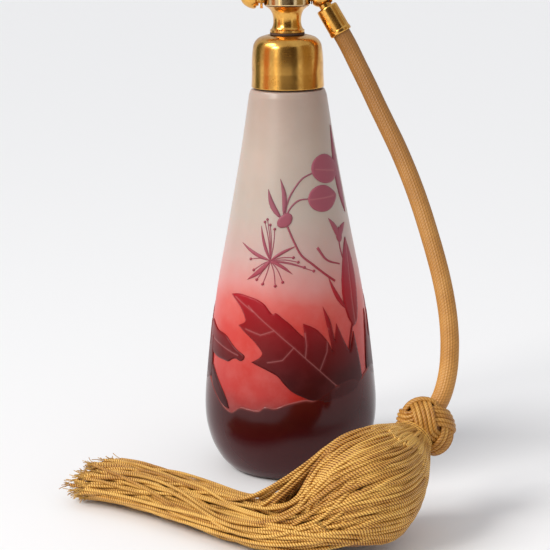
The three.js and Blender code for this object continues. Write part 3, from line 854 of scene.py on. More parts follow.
class Relief:
    """Collects wrapped shapes, then makes them one mesh with colour attributes."""

    def __init__(self):
        self.points, self.faces, self.veins, self.blooms = [], [], [], []

    def add(self, outline, rise=0.4, veins=(), bloom=0.0, rounded=True):
        """outline and veins are lists of (degrees, mm); bloom is 1 for petals and seed heads."""
        middle = float(np.mean([p[1] for p in outline]))
        flat = math.radians(1) * float(glass_radius(middle))

        def unroll(points):
            return [np.array((p[0] * flat, p[1]), float) for p in points]

        edge = unroll(outline)
        if rounded:
            edge = soft_corners(edge)
        edge = np.array(evenly(edge, EDGE_STEP, True))
        lines = [np.array(evenly(unroll(v), EDGE_STEP, False)) for v in veins]
        low, high = edge.min(0), edge.max(0)
        xs = np.arange(low[0], high[0], GRID)
        ys = np.arange(low[1], high[1], GRID * ROW_SHARE)
        grid = np.array([(x + (j % 2) * GRID / 2, y) for j, y in enumerate(ys) for x in xs])
        extra = [grid.reshape(-1, 2)]
        for line in lines:
            slope = np.gradient(line, axis=0)
            side = np.column_stack([-slope[:, 1], slope[:, 0]])
            side /= np.maximum(np.linalg.norm(side, axis=1), 1e-9)[:, None]
            extra.extend([line, line + side * VEIN_FLANK, line - side * VEIN_FLANK])
        loop = [np.vstack([edge, edge[:1]])]
        chosen = []
        for k, group in enumerate(extra):
            if len(group) == 0:
                continue
            keep = inside(group, edge) & (distance_to_lines(group, loop) > EDGE_CLEAR)
            if k == 0 and lines:
                keep &= distance_to_lines(group, lines) > VEIN_CLEAR
            chosen.append(group[keep])
        inner = np.vstack(chosen) if chosen else np.zeros((0, 2))
        flat_points = [Vector(p) for p in edge] + [Vector(p) for p in inner]
        ring = list(range(len(edge)))
        made = geometry.delaunay_2d_cdt(flat_points, [], [ring], 1, 1e-4)
        spots = np.array([tuple(p) for p in made[0]])
        from_edge = distance_to_lines(spots, loop)
        from_vein = distance_to_lines(spots, lines) if lines else np.full(len(spots), NO_VEIN)
        cut = np.exp(-(from_vein / VEIN_WIDTH) ** 2)
        swell = EDGE_HEIGHT + (1 - EDGE_HEIGHT) * np.clip(from_edge / EDGE_ROUND, 0, 1)
        top = rise * swell - VEIN_DEPTH * cut
        first = len(self.points)
        for height, sign in ((top, 1), (np.full(len(spots), -RELIEF_SUNK), -1)):
            radius = glass_radius(spots[:, 1]) + height
            angle = spots[:, 0] / flat * math.radians(1)
            self.points.extend(zip(radius * np.sin(angle), -radius * np.cos(angle), spots[:, 1]))
        count = len(spots)
        links = {}
        for face in made[2]:
            a, b, c = face
            area = np.cross(spots[b] - spots[a], spots[c] - spots[a])
            tri = (a, b, c) if area > 0 else (a, c, b)
            self.faces.append(tuple(first + i for i in tri))
            self.faces.append(tuple(first + count + i for i in reversed(tri)))
            for i, j in ((0, 1), (1, 2), (2, 0)):
                links[(tri[i], tri[j])] = links.get((tri[i], tri[j]), 0) + 1
        for (i, j) in links:
            if (j, i) not in links:
                self.faces.append((first + j, first + i, first + count + i, first + count + j))
        self.veins.extend(list(cut) * 2)
        self.blooms.extend([bloom] * count * 2)

    def mesh(self, name):
        piece = mesh_piece(name, self.points, self.faces)
        store_values(piece.data, "vein", self.veins)
        store_values(piece.data, "bloom", self.blooms)
        return piece


def stem(points, width=0.7, end_width=None):
    """The outline of a thin stem of (degrees, mm) points that tapers to end_width."""
    middle = float(np.mean([p[1] for p in points]))
    flat = math.radians(1) * float(glass_radius(middle))
    line = smooth_path([(p[0] * flat, p[1], 0) for p in points], 1.2)[:, :2]
    slope = np.gradient(line, axis=0)
    side = np.column_stack([-slope[:, 1], slope[:, 0]])
    side /= np.linalg.norm(side, axis=1)[:, None]
    half = np.linspace(width, end_width or width, len(line))[:, None] / 2
    edge = np.vstack([line + side * half, (line - side * half)[::-1]])
    return [(x / flat, y) for x, y in edge]


def seed_head(centre, half_width, half_height, lean=0.0, beak=0.25):
    """A round seed head with a short beak on its right; half_width in degrees, the rest in mm."""
    flat = math.radians(1) * float(glass_radius(centre[1]))
    result = []
    for k in range(28):
        angle = 2 * math.pi * k / 28
        reach = 1 + beak * max(0.0, math.cos(angle)) ** 9
        x = half_width * flat * math.cos(angle) * reach
        y = half_height * math.sin(angle)
        turn = math.radians(lean)
        result.append((centre[0] + (x * math.cos(turn) - y * math.sin(turn)) / flat,
                       centre[1] + x * math.sin(turn) + y * math.cos(turn)))
    return result


def blade(base, tip, width, bend=0.0, steps=9):
    """A narrow leaf or sepal from base to tip, width in mm, bent sideways by bend mm."""
    middle = (base[1] + tip[1]) / 2
    flat = math.radians(1) * float(glass_radius(middle))
    a, b = np.array((base[0] * flat, base[1])), np.array((tip[0] * flat, tip[1]))
    side = np.array((-(b - a)[1], (b - a)[0])) / np.linalg.norm(b - a)
    left, right = [], []
    for k in range(steps + 1):
        t = k / steps
        spine = a + (b - a) * t + side * bend * math.sin(math.pi * t)
        half = width / 2 * math.sin(math.pi * t ** 0.8) ** 0.9 + 0.04
        left.append(spine + side * half)
        right.append(spine - side * half)
    return [(x / flat, y) for x, y in left + right[::-1]]


# %% The motifs, front and back
BROAD_LEAF = [
    (-52, 75), (-44, 75.8), (-36, 75.4), (-27, 74.6), (-20, 73), (-16, 70.3), (-13.5, 69), (-11, 70),
    (-5.5, 67.6), (0, 65.4), (6, 62), (10, 60), (9, 65.6), (14, 64.6), (19.5, 63), (24, 60.2),
    (28, 57.3), (31, 53.4), (29, 60), (27, 66), (25.2, 71.5), (28, 68.6), (30.5, 66.2), (32.4, 60.5),
    (33.4, 57.5), (34.5, 60.5), (35.8, 64.2), (38.5, 60.8), (41, 57.5), (44, 54.4), (46.4, 52.2),
    (49.5, 55.5), (52.6, 59.6), (54.4, 55), (56, 50), (57.5, 44), (57.8, 40), (50, 36), (35, 34.5),
    (22, 33.5), (15.3, 35.2), (7, 37.2), (0, 39.4), (-5, 42.4), (-9, 45.5), (-18, 47.8), (-28.5, 50),
    (-23, 51.6), (-19.6, 53.8), (-23.5, 56.4), (-28, 58.8), (-35, 61.2), (-41.2, 63.6), (-34.5, 65.3),
    (-36.5, 67.8), (-40, 70.4), (-46, 73)]
BROAD_VEINS = [
    [(-46, 74.2), (-28, 69.5), (-12, 63), (2, 56.5), (17, 48.5), (33, 39.5)],
    [(-12, 63), (-22, 61), (-34, 62.6)], [(2, 56.5), (-6, 51.6), (-16, 50.6)],
    [(10, 52.5), (11, 57), (10.3, 62)], [(20, 47), (26, 54), (28, 63)], [(-28, 69.5), (-33, 71.5)]]
TALL_LEAF = [
    (61, 96), (64, 92), (66.5, 87), (66.8, 80.5), (65, 74), (62.5, 68), (59.7, 63.8), (56.5, 62),
    (53, 61.5), (48.5, 65.5), (45.5, 70.5), (45, 75.5), (46.3, 80.4), (49.5, 85.5), (53.3, 90.3), (57.5, 94)]
LOW_LEAF = [
    (-84, 62.5), (-74, 61), (-66, 59.1), (-58, 58.9), (-52.3, 58), (-46, 55.4), (-40, 53.4), (-34, 52.2),
    (-35, 50.4), (-37.7, 49.6), (-42, 50.5), (-45.2, 50), (-49, 48.3), (-53, 48.6), (-62.6, 48.6),
    (-73, 49.6), (-82, 51)]


def moved(points, turn, lift, mirrored=False, grow=1.0, centre=(0, 56)):
    """A motif turned round the flask by degrees, lifted by mm, mirrored and scaled."""
    flip = -1 if mirrored else 1
    return [(centre[0] + flip * (x - centre[0]) * grow + turn, centre[1] + (z - centre[1]) * grow + lift)
            for x, z in points]


def placed(points, turn, mirrored):
    """A motif's points turned round the flask by degrees, mirrored or not."""
    flip = -1 if mirrored else 1
    return [(flip * x + turn, z) for x, z in points]


def add_leaf(relief, turn, lift, mirrored=False, grow=1.0):
    relief.add(moved(BROAD_LEAF, turn, lift, mirrored, grow), 0.45,
               [moved(v, turn, lift, mirrored, grow) for v in BROAD_VEINS])


def add_spray(relief, turn, mirrored=False):
    """Two seed heads on their stems, with sepals and the ovary they spring from."""
    def shape(points, rise, bloom=0.0, veins=()):
        relief.add(placed(points, turn, mirrored), rise, [placed(v, turn, mirrored) for v in veins],
                   bloom, rounded=False)

    shape(seed_head((46, 123.3), 20, 5.6, -6), 0.4, 1.0, [[(31, 123.5), (60, 122)]])
    shape(seed_head((36.5, 112.3), 17, 5.1, 2), 0.4, 1.0, [[(22, 112.3), (52, 112.6)]])
    shape(stem([(27.5, 122.3), (15, 120.5), (4, 116), (-2.5, 111), (-5, 106)], 0.55, 0.8), 0.22)
    shape(stem([(20.5, 112.6), (10, 112.3), (2, 110), (-3.5, 106.5)], 0.5, 0.7), 0.22)
    shape(blade((-8, 105.5), (-22.5, 116.5), 2.0, 0.9), 0.32)
    shape(blade((-6, 107), (-9.5, 120.5), 1.7, -1.0), 0.32)
    shape(seed_head((-4.5, 104.8), 5.5, 3.4, -50, 0.1), 0.36, 0.5)
    shape(stem([(-2, 102.5), (4, 96.5), (10, 91.5), (19, 88), (31, 83.3), (39, 80.5)], 0.8, 0.9), 0.26)
    shape(blade((51, 96), (40.5, 104.5), 2.4, -0.7), 0.34, 0.4)
    shape(blade((51.5, 96), (65, 101.5), 2.6, 0.8), 0.34, 0.4)
    shape(blade((51, 94.5), (53, 100.5), 3.4), 0.36, 0.5)
    shape(stem([(50.5, 96), (51, 91), (53.5, 86.5)], 0.6), 0.24)
    shape(stem([(25, 94), (33, 89), (47, 86.5)], 1.1, 0.5), 0.26)
    shape(TALL_LEAF, 0.42, 0.0, [[(56, 63), (55.5, 72), (57, 82), (60.5, 94)]])
    shape(blade((47, 69), (33, 82), 1.8, 0.7), 0.28)
    shape(stem([(53, 63), (49, 58), (45, 50)], 1.0), 0.3)
    shape(blade((72, 105), (73, 139), 5.0, 1.2), 0.4, 0.6)


def add_flower(relief, turn, mirrored=False):
    """A star flower from the side: five narrow petals and a spray of stamens with anthers."""
    centre = (-17, 89.5)
    petals = [((-47, 95.2), 1.3), ((-27.5, 102.5), 1.1), ((5, 95), 1.1), ((2, 84.5), 1.2),
              ((-37, 81.5), 1.8)]
    for tip, width in petals:
        petal = blade(centre, tip, width, 0.5)
        relief.add(placed(petal, turn, mirrored), 0.24, (), 0.6, rounded=False)
    stamens = [(-24, 104), (-21.5, 105), (-18.5, 103), (-14, 101.5), (-35.5, 89.5), (-31.5, 85.5),
               (-28, 82), (-22.5, 80.5), (-12, 80), (-6, 81.5), (3, 90.8), (12, 87), (20, 85.3), (7, 89)]
    for end in stamens:
        halfway = ((centre[0] + end[0]) / 2 + 1, (centre[1] + end[1]) / 2 + 0.7)
        thread = stem([centre, halfway, end], 0.36, 0.28)
        anther = seed_head(end, 1.3, 0.5, 30, 0)
        relief.add(placed(thread, turn, mirrored), 0.2, (), 0.8, rounded=False)
        relief.add(placed(anther, turn, mirrored), 0.3, (), 0.5, rounded=False)


relief = Relief()
add_leaf(relief, 0, 0)
add_leaf(relief, 124, 2, mirrored=True, grow=0.98)
add_leaf(relief, 238, -1, grow=0.9)
add_spray(relief, 0)
add_spray(relief, 178, mirrored=True)
add_flower(relief, 0)
add_flower(relief, 195, mirrored=True)
for turn, lift in ((0, 0), (236, -2)):
    relief.add(moved(LOW_LEAF, turn, lift), 0.36, [moved([(-78, 55.5), (-60, 54), (-40, 51.8)], turn, lift)])
    relief.add(moved(blade((-46, 30), (-76, 47.5), 5.6, 1.4), turn, lift), 0.38, rounded=False)
relief.add(blade((66, 38), (76, 66), 5.2, -1.0), 0.4, [[(67, 40), (71, 51), (74.5, 63)]], rounded=False)
relief.add(blade((84, 40), (90, 60), 5.0, 0.8), 0.4, rounded=False)
motif = relief.mesh("ruby_relief")
print("relief:", len(motif.data.vertices), "points")

# %% The dark foot that the acid left whole
FOOT_EDGE = [(-90, 42), (-76, 40.5), (-62, 35), (-51, 30.5), (-43, 29), (-36, 31.5), (-29, 31.4),
             (-22, 31.3), (-17.5, 33), (-11, 32.7), (-5, 34), (0, 34.9), (9, 35.9), (15, 35.6), (23, 38),
             (34, 41), (46, 41.8), (54, 40.2), (62, 41.8), (75, 44), (92, 40), (110, 35), (140, 39.5),
             (170, 36), (200, 38.5), (235, 36)]
FOOT_BASE_Z = 0.7
FOOT_ROWS = 30
FOOT_COLUMNS = 300
foot_curve = FOOT_EDGE + [(FOOT_EDGE[0][0] + 360, FOOT_EDGE[0][1])]
columns = np.linspace(-90, 270, FOOT_COLUMNS, endpoint=False)
edge_line = np.array(spline(foot_curve, 800))
edge_z = np.interp(columns, edge_line[:, 0], edge_line[:, 1])
foot_rings, foot_edge_value = [], []
# Each level is its share of the way up to the wavy edge, its lift off the glass and its rim value.
levels = [(row / FOOT_ROWS, 0.45, 0.0) for row in range(FOOT_ROWS)]
levels += [(0.985, 0.45, 0.2), (0.997, 0.4, 1.0), (1.004, 0.25, 1.0), (1.006, -0.25, 0.6), (0.99, -0.3, 0.0)]
levels += [(row / FOOT_ROWS, -0.3, 0.0) for row in range(FOOT_ROWS - 2, -1, -3)]
for level, lift, edge_value in levels:
    z = FOOT_BASE_Z + (edge_z - FOOT_BASE_Z) * level
    radius = glass_radius(z) + lift
    angle = np.radians(columns)
    foot_rings.append(np.column_stack([radius * np.sin(angle), -radius * np.cos(angle), z]))
    foot_edge_value.extend([edge_value] * FOOT_COLUMNS)
foot_points = np.vstack(foot_rings)
foot_faces = []
for i in range(len(levels)):
    low, high = i * FOOT_COLUMNS, (i + 1) % len(levels) * FOOT_COLUMNS
    for k in range(FOOT_COLUMNS):
        n = (k + 1) % FOOT_COLUMNS
        foot_faces.append((low + k, low + n, high + n, high + k))
foot = mesh_piece("ruby_foot", foot_points, foot_faces)
store_values(foot.data, "rim", foot_edge_value)

# %% Ruby glass for the relief and the foot
ruby, tree, shader = new_material("ruby relief", Roughness=0.36, IOR=1.5, Specular_IOR_Level=0.22)
share, place = height_share(tree, 0.05)
leaf_colour = ramp(tree, share, [
    (0.20, srgb(50, 4, 8)), (0.29, srgb(66, 4, 8)), (0.36, srgb(100, 4, 9)), (0.43, srgb(136, 6, 15)),
    (0.51, srgb(160, 18, 32)), (0.60, srgb(150, 66, 78)), (0.72, srgb(146, 82, 94)),
    (0.90, srgb(142, 88, 98))])
bloomed = blend_colours(tree, sums(tree, "MULTIPLY", named_value(tree, "bloom"), 0.75),
                        leaf_colour, srgb(154, 78, 92))
veined = blend_colours(tree, sums(tree, "MULTIPLY", named_value(tree, "vein"), 0.34),
                       bloomed, srgb(206, 132, 130))
streak = noise(tree, place, Scale=70.0, Detail=4.0, Roughness=0.6)
milky = excess(tree, streak, 0.5, 0.3)
wire(tree, blend_colours(tree, milky, veined, srgb(176, 84, 84)), shader.inputs["Base Color"])
wire(tree, scaled(tree, streak, 0.2, 0.26), shader.inputs["Roughness"])
bump(tree, shader, noise(tree, place, Scale=1800.0, Detail=2.0), ETCH_DEPTH_M, 0.4)
finish(motif, "bottle", [], ruby)

foot_glass, tree, shader = new_material("dark foot glass", Roughness=0.16, IOR=1.52, Specular_IOR_Level=0.28)
share, place = height_share(tree, 0.05)
# The lighter, greyer stops at the very bottom are a painted reflection of the floor.
foot_colour = ramp(tree, share, [
    (0.0, srgb(64, 16, 20)), (0.10, srgb(66, 14, 17)), (0.18, srgb(60, 8, 10)), (0.28, srgb(84, 12, 13))])
rimmed = blend_colours(tree, sums(tree, "MULTIPLY", named_value(tree, "rim"), 0.55),
                       foot_colour, srgb(176, 92, 86))
wire(tree, rimmed, shader.inputs["Base Color"])
smear = noise(tree, place, Scale=60.0, Detail=4.0)
wire(tree, scaled(tree, smear, 0.22, 0.04), shader.inputs["Roughness"])
finish(foot, "bottle", [], foot_glass)

# %% [markdown]
# ## The brass
# Collar, stem and spray head were turned, polished and gilded. Gilding is thin, so it is warm and
# bright on the open faces and a little darker and duller in the hollows and where fingers wear it.
# The finish is a metal shader whose colour and roughness follow the shared tarnish mask, with faint
# lathe rings as bump. The rings need to know the axis, so a Mapping node turns them for the pieces
# that lie along the nozzle.

# %% Brass materials
JET = (0, 0, 188.3)


def brass_material(name, bright, worn, roughness, lying=False, marks=0.00001):
    material, tree, shader = new_material(name, Metallic=1.0, Roughness=roughness)
    place = object_space(tree)
    if lying:
        turn = add_node(tree, "ShaderNodeMapping", Vector=place, Location=(-JET[2] * MM, 0, 0),
                        Rotation=(0, math.radians(90), 0))
        place = turn.outputs["Vector"]
    tarnish = use_group(tree, tarnish_group, Vector=place, Patch_Scale=260.0, Amount=0.55)["Mask"]
    specks = use_group(tree, tarnish_group, Vector=place, Patch_Scale=1500.0, Amount=0.30)["Mask"]
    dull = sums(tree, "ADD", tarnish, specks, True)
    wire(tree, blend_colours(tree, dull, bright, worn), shader.inputs["Base Color"])
    wire(tree, scaled(tree, dull, 0.16, roughness), shader.inputs["Roughness"])
    ridges = use_group(tree, turning_group, Vector=place, Marks_Per_Metre=3200.0)["Height"]
    bump(tree, shader, ridges, marks, 0.5)
    return material


gilt = brass_material("gilt brass", srgb(232, 178, 92), srgb(186, 124, 48), 0.19)
gilt_lying = brass_material("gilt brass, lying", srgb(232, 178, 92), srgb(186, 124, 48), 0.19, True)
pale_brass = brass_material("pale rubbed brass", srgb(226, 198, 150), srgb(176, 140, 92), 0.12)
bare_brass = brass_material("turned brass", srgb(206, 160, 86), srgb(142, 100, 50), 0.3)

# %% Collar and stem
COLLAR = [(13.4, 153.6), (14.2, 153.6), (13.95, 159), (13.9, 164), (13.55, 168), (13.1, 170.2),
          (12.1, 171.8), (10.6, 172.9), (8.4, 173.6), (7.45, 173.7), (7.45, 172.7), (9.6, 172.3),
          (11.4, 171.1), (12.4, 169.6), (12.85, 167.6), (13.1, 164)]
collar_side = spline(COLLAR[2:9], 36)
collar = turned("collar", COLLAR[:2] + collar_side + COLLAR[9:], edge=0.25, segments=160)
finish(collar, "bottle", ["neck_collar"], gilt)
washer = turned("leather_washer", [(6.2, 173.8), (6.75, 173.8), (6.75, 174.6), (6.2, 174.6)], edge=0.15)
STEM_WAIST = [(6.7, 175.6), (5.95, 176.4), (5.45, 178), (5.4, 179.8), (5.7, 181.6), (6.5, 183.2),
              (7.7, 184.3), (8.6, 184.9)]
stem_outline = [(3.9, 174.7), (6.7, 174.7)] + spline(STEM_WAIST, 32)
stem_piece = turned("stem", stem_outline + [(2.2, 184.9), (2.2, 178.9), (3.9, 178.9)], edge=0.2)
finish(stem_piece, "head", ["head_stem"], gilt)

# %% Drum, cover and finial
drum = turned("drum", [(2.2, 185.2), (9, 185.2), (9, 192.2), (8.3, 192.2), (8.3, 185.9), (2.2, 185.9)],
              edge=0.35, segments=128)
finish(drum, "head", ["drum_shell"], pale_brass)
cover_top = spline([(9, 193.5), (8.4, 194.25), (6.4, 194.9), (3.6, 195.35), (1.4, 195.4)], 24)
cover = turned("cover", [(1.4, 193.1), (8.9, 193.1)] + cover_top, edge=0.15, segments=128)
finish(cover, "head", ["drum_cover"], gilt)
knob = spline([(2.1, 195.7), (1.5, 196.3), (1.9, 197), (2.3, 198), (1.9, 199.1), (1, 199.7), (0, 199.8)], 40)
finial = turned("finial", [(0, 191.6), (1.1, 191.6), (1.1, 195.7)] + knob, edge=0.08, segments=64)
finish(finial, "head", ["cover_finial"], gilt)

# %% Nozzle: a knurled lock ring and a domed cap
LEFT = (-1, 0, 0)
RIGHT = (1, 0, 0)
lock_ring = turned("lock_ring", [(2.8, 9.35), (4.4, 9.35), (4.4, 10.4), (2.8, 10.4)], JET, LEFT, 0.12,
                   segments=240, ribs=40, rib_depth=0.045, ribbed_above=4.2)
finish(lock_ring, "head", ["nozzle_lock_ring"], gilt_lying)
cap_dome = spline([(3.4, 11), (3.6, 11.7), (4.25, 12.1), (4.5, 12.8), (4.35, 13.9), (3.8, 15.3),
                   (2.8, 16.7), (1.5, 17.6), (0.5, 17.8)], 48)
cap = turned("spray_cap", [(0.5, 17), (2.2, 15.6), (2.85, 14.8), (2.85, 11)] + cap_dome, JET, LEFT, 0.1)
finish(cap, "nozzle", ["nozzle_cap"], gilt_lying)

# %% Bolt, knuckle and ferrule
BOLT = [(0, 5.2), (2, 5.2), (2, 16.3), (2.5, 16.3), (2.5, 17.05), (2.1, 17.5), (0, 17.6)]
bolt = turned("hollow_bolt", BOLT, JET, RIGHT, 0.12, 64)
finish(bolt, "head", ["banjo_bolt"], gilt_lying)
KNUCKLE_CENTRE = (12.7, 0, 188.3)
KNUCKLE_R = 4.2
KNUCKLE_FLAT = 2.8
ELBOW = Vector((0.5, -0.12, -0.857)).normalized()
flat_angle = math.asin(KNUCKLE_FLAT / KNUCKLE_R)
ball_side = [(KNUCKLE_R * math.cos(a), 12.7 + KNUCKLE_R * math.sin(a))
             for a in np.linspace(-flat_angle, flat_angle, 28)]
ball = turned("ball", [(2.25, 9.9)] + ball_side + [(2.25, 15.5)], JET, RIGHT, 0.15, 96)
boss = turned("boss", [(0, 3), (2.4, 3), (2.4, 8.6), (0, 8.6)], KNUCKLE_CENTRE, ELBOW, 0.1, 48)
finish(joined("knuckle", [ball, boss]), "bulb", ["elbow_knuckle"], gilt_lying)
FERRULE = [(1.6, 12), (1.6, 8.9), (2.7, 8.9), (2.7, 4.9), (3.9, 4.9), (4.25, 5.4), (4.25, 14.6),
           (4.4, 15.1), (4.4, 16.0), (4.2, 16.4), (3.75, 16.4), (3.75, 12)]
ferrule = turned("ferrule", FERRULE, KNUCKLE_CENTRE, ELBOW, 0.18, 96)
finish(ferrule, "bulb", ["elbow_ferrule"], gilt)

# %% [markdown]
# ## The squeeze bulb, its net and its valve end
# Under the cords a red rubber bulb sits in a knitted silk net that is drawn in round both mouths.
# When the bulb is pressed they flatten onto the table together. Both are turned ovals that narrow
# towards the knot. The net's stitches are a bump, with painted shade between them and painted
# highlight in their middles, since the cords cover it.

# %% Bulb frame
BULB_CENTRE = np.array((26.6, -89.9, 21.3))
BULB_AXIS = np.array(Vector((-0.62, -0.69, -0.37)).normalized())
BULB_UP = np.array((0, 0, 1.0)) - BULB_AXIS[2] * BULB_AXIS
BULB_UP /= np.linalg.norm(BULB_UP)
BULB_LEFT = np.cross(BULB_AXIS, BULB_UP)
NET_R, NET_HALF, NET_THICKNESS = 18.7, 26.2, 0.7
PEAR, PEAR_FROM, PEAR_LENGTH = 0.24, 4.0, 30.0
RUBBER_INSIDE, RUBBER_WALL = 1.0, 2.0
# The rubber's mouths are wide enough to stay clear of the valve ball when the bulb is flattened.
RUBBER_MOUTH_R, NET_MOUTH_R = 8.0, 4.8


def waist(along):
    """The bulb's width as a share of a plain oval's: it narrows towards the knot."""
    return 1 - PEAR * np.clip((PEAR_FROM - along) / PEAR_LENGTH, 0, 1)


def outward(turn):
    """The way out from the bulb's axis, at a turn in radians from its top."""
    return math.cos(turn) * BULB_UP + math.sin(turn) * BULB_LEFT


def oval_shell(name, radius, half, wall, mouth, segments=128, steps=56):
    limit = math.acos(mouth / radius)
    angles = np.linspace(-limit, limit, steps)
    outside = [(radius * math.cos(a) * waist(half * math.sin(a)), half * math.sin(a)) for a in angles]
    within = [((radius - wall) * math.cos(a) * waist(half * math.sin(a)), (half - wall) * math.sin(a))
              for a in angles[::-1]]
    return turned(name, outside + within, BULB_CENTRE, BULB_AXIS, 0.2, segments)


rubber_paint, tree, shader = new_material("bulb rubber", Roughness=0.55)
chalky = use_group(tree, tarnish_group, Vector=object_space(tree), Patch_Scale=90.0, Amount=0.8)["Mask"]
wire(tree, blend_colours(tree, chalky, srgb(118, 56, 38), srgb(142, 82, 62)), shader.inputs["Base Color"])
rubber = oval_shell("rubber_bulb_skin", NET_R - RUBBER_INSIDE, NET_HALF - RUBBER_INSIDE, RUBBER_WALL,
                    RUBBER_MOUTH_R)
finish(rubber, "bulb", ["rubber_bulb"], rubber_paint)

net_paint, tree, shader = new_material("knitted net", Roughness=0.6, Sheen_Weight=0.2)
stitches = add_node(tree, "ShaderNodeTexVoronoi", Vector=object_space(tree), Scale=850.0,
                    Randomness=0.35).outputs["Distance"]
# Stitch middles are painted lighter and the gaps between stitches darker, as painted highlight and shade.
knitted = ramp(tree, stitches, [
    (0.0, srgb(196, 136, 56)), (0.45, srgb(158, 102, 38)), (0.9, srgb(96, 54, 18))])
wire(tree, knitted, shader.inputs["Base Color"])
bump(tree, shader, sums(tree, "SUBTRACT", 1.0, stitches), 0.0004, 1.0)
net = oval_shell("silk_net", NET_R, NET_HALF, NET_THICKNESS, NET_MOUTH_R)
finish(net, "bulb", ["net_cover"], net_paint)
for soft in (rubber, net):
    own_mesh(soft)


# %% Points on the bulb
def on_bulb(along, turn, lift):
    """A point at a distance along the bulb, a turn in radians from its top, lifted off the net."""
    share = 1 - (along / (NET_HALF + lift)) ** 2
    radius = (NET_R * waist(along) + lift) * math.sqrt(max(share, 0.02))
    return BULB_CENTRE + along * BULB_AXIS + radius * outward(turn)


# %% Thread wound round the net's tail
BINDING_AT, BINDING_R, THREAD_R, BINDING_TURNS = 27.6, 5.9, 0.34, 5
TURN_STEPS = 40
winding = []
for k in range(BINDING_TURNS * TURN_STEPS + 1):
    angle = 2 * math.pi * k / TURN_STEPS
    along = BINDING_AT + (k / TURN_STEPS - BINDING_TURNS / 2) * THREAD_R * 1.9
    winding.append(BULB_CENTRE + along * BULB_AXIS + BINDING_R * outward(angle))
binding = made_by_rule("tail_winding", [winding], twist_rule, Radius=THREAD_R * MM, Lay=0.0014,
                       Plies=2, Groove=0.16, Section_Points=8, Material=cord_silk)
finish(binding, "bulb", ["tail_binding"], cord_silk)

# %% [markdown]
# ## The knot
# Where the hose meets the bulb, a turban knot of five parallel cords hides the joint. It is a Turk's
# head with three leads and four bights: the cord goes three times round while it swings four times
# from edge to edge, rising over and dipping under itself in turn. That is one formula, so the five
# cords are five closed lines from it, and the silk's shader gives them their twist.

# %% Turk's head
KNOT_AT, KNOT_R, KNOT_HALF = -36.6, 11.4, 9.2
KNOT_CORD_R = 0.82
KNOT_SWING = math.radians(50)
KNOT_PHASE = math.radians(20)
KNOT_CORDS = 5
KNOT_STEPS = 620
LEADS, BIGHTS = 3, 4
WEAVE_RISE, WEAVE_SUNK = 0.75, 1.1
NUDGE = 0.004


def knot_point(t, lift):
    """A point on the knot's oval at t from 0 to one whole circuit, in millimetres."""
    turn = LEADS * t + KNOT_PHASE
    swing = KNOT_SWING * math.cos(BIGHTS * t)
    return (BULB_CENTRE + (KNOT_AT + (KNOT_HALF + lift) * math.sin(swing)) * BULB_AXIS
            + (KNOT_R + lift) * math.cos(swing) * outward(turn))


def knot_line(offset):
    """One closed line of the knot, offset sideways in mm from the middle one."""
    middle_point = BULB_CENTRE + KNOT_AT * BULB_AXIS
    line = []
    for k in range(KNOT_STEPS):
        t = 2 * math.pi * k / KNOT_STEPS
        lift = WEAVE_RISE * math.sin(2 * BIGHTS * t) - WEAVE_SUNK
        here = knot_point(t, lift)
        ahead = knot_point(t + NUDGE, lift) - knot_point(t - NUDGE, lift)
        ahead /= np.linalg.norm(ahead)
        local = here - middle_point
        along = local @ BULB_AXIS
        normal = (local - along * BULB_AXIS) / KNOT_R ** 2 + along * BULB_AXIS / KNOT_HALF ** 2
        normal /= np.linalg.norm(normal)
        side = np.cross(normal, ahead)
        moved_point = here + side * offset
        local = moved_point - middle_point
        along = local @ BULB_AXIS
        across = np.linalg.norm(local - along * BULB_AXIS)
        level = math.sqrt((across / (KNOT_R + lift)) ** 2 + (along / (KNOT_HALF + lift)) ** 2)
        line.append(middle_point + local / level)
    return line


knot_lines = [knot_line((k - (KNOT_CORDS - 1) / 2) * KNOT_CORD_R * 2.0) for k in range(KNOT_CORDS)]
knot_cords = made_by_rule(
    "knot_cords", knot_lines, twist_rule, [0.5, 0.62, 0.46, 0.66, 0.52], True, Radius=KNOT_CORD_R * MM,
    Lay=NO_TWIST, Plies=1, Groove=0.0, Section_Points=9, Material=knot_silk)
STUFFING_SHARE = 0.80
stuffing_side = [(KNOT_R * STUFFING_SHARE * math.cos(a), KNOT_AT + KNOT_HALF * STUFFING_SHARE * math.sin(a))
                 for a in np.linspace(-1.15, 1.15, 30)]
stuffing = turned("knot_stuffing", stuffing_side + [(3.9, KNOT_AT + 6.2), (3.9, KNOT_AT - 6.2)],
                  BULB_CENTRE, BULB_AXIS, 0.2, 64)
# The stuffing takes the darker silk, painted shade for the gaps between the knot's cords.
stuffing.data.materials.append(shaded_core_silk)
finish(stuffing, "bulb", [])
finish(knot_cords, "bulb", ["turks_head_knot"], knot_silk)

# %% [markdown]
# ## The fan and the tassel
# The cords start under the knot, lie side by side and two deep over the bulb, and then turn
# left together into the tassel that trails past the flask. Each cord starts from a few guide points:
# over the bulb at its own angle, then along the tassel's middle line at its own place in the bundle.
# Then all are settled together: every step smooths each cord, lets it sink, and pushes it off the
# bulb, the table and its neighbours, which is what makes the small gaps and crossings look real.

# %% Guides
CORD_R = 0.66
CORD_COUNT = 144
FAN_MIDDLE, FAN_TURN = math.radians(-24), math.radians(138)
# Stations on the tassel's middle line: centre, half width and half height in mm.
TASSEL_LINE = [
    ((13, -104, 12), 12, 8), ((-2, -98, 8.4), 13.5, 7.8), ((-18, -84, 7.4), 14, 6.9),
    ((-34, -69, 7.4), 14, 6.9), ((-50, -54, 7.2), 14.5, 6.5), ((-65, -42, 7.2), 16.5, 6.3),
    ((-78, -35, 6.8), 17.5, 5.8)]
tassel_points = np.array([p[0] for p in TASSEL_LINE], float)
tassel_ahead = np.gradient(tassel_points, axis=0)
tassel_ahead[:, 2] = 0
tassel_ahead /= np.linalg.norm(tassel_ahead, axis=1)[:, None]
tassel_side = np.column_stack([-tassel_ahead[:, 1], tassel_ahead[:, 0], np.zeros(len(tassel_ahead))])
tassel_side *= -1
GUIDE_STEP = 2.2
LIFT_OFF = CORD_R + 0.15
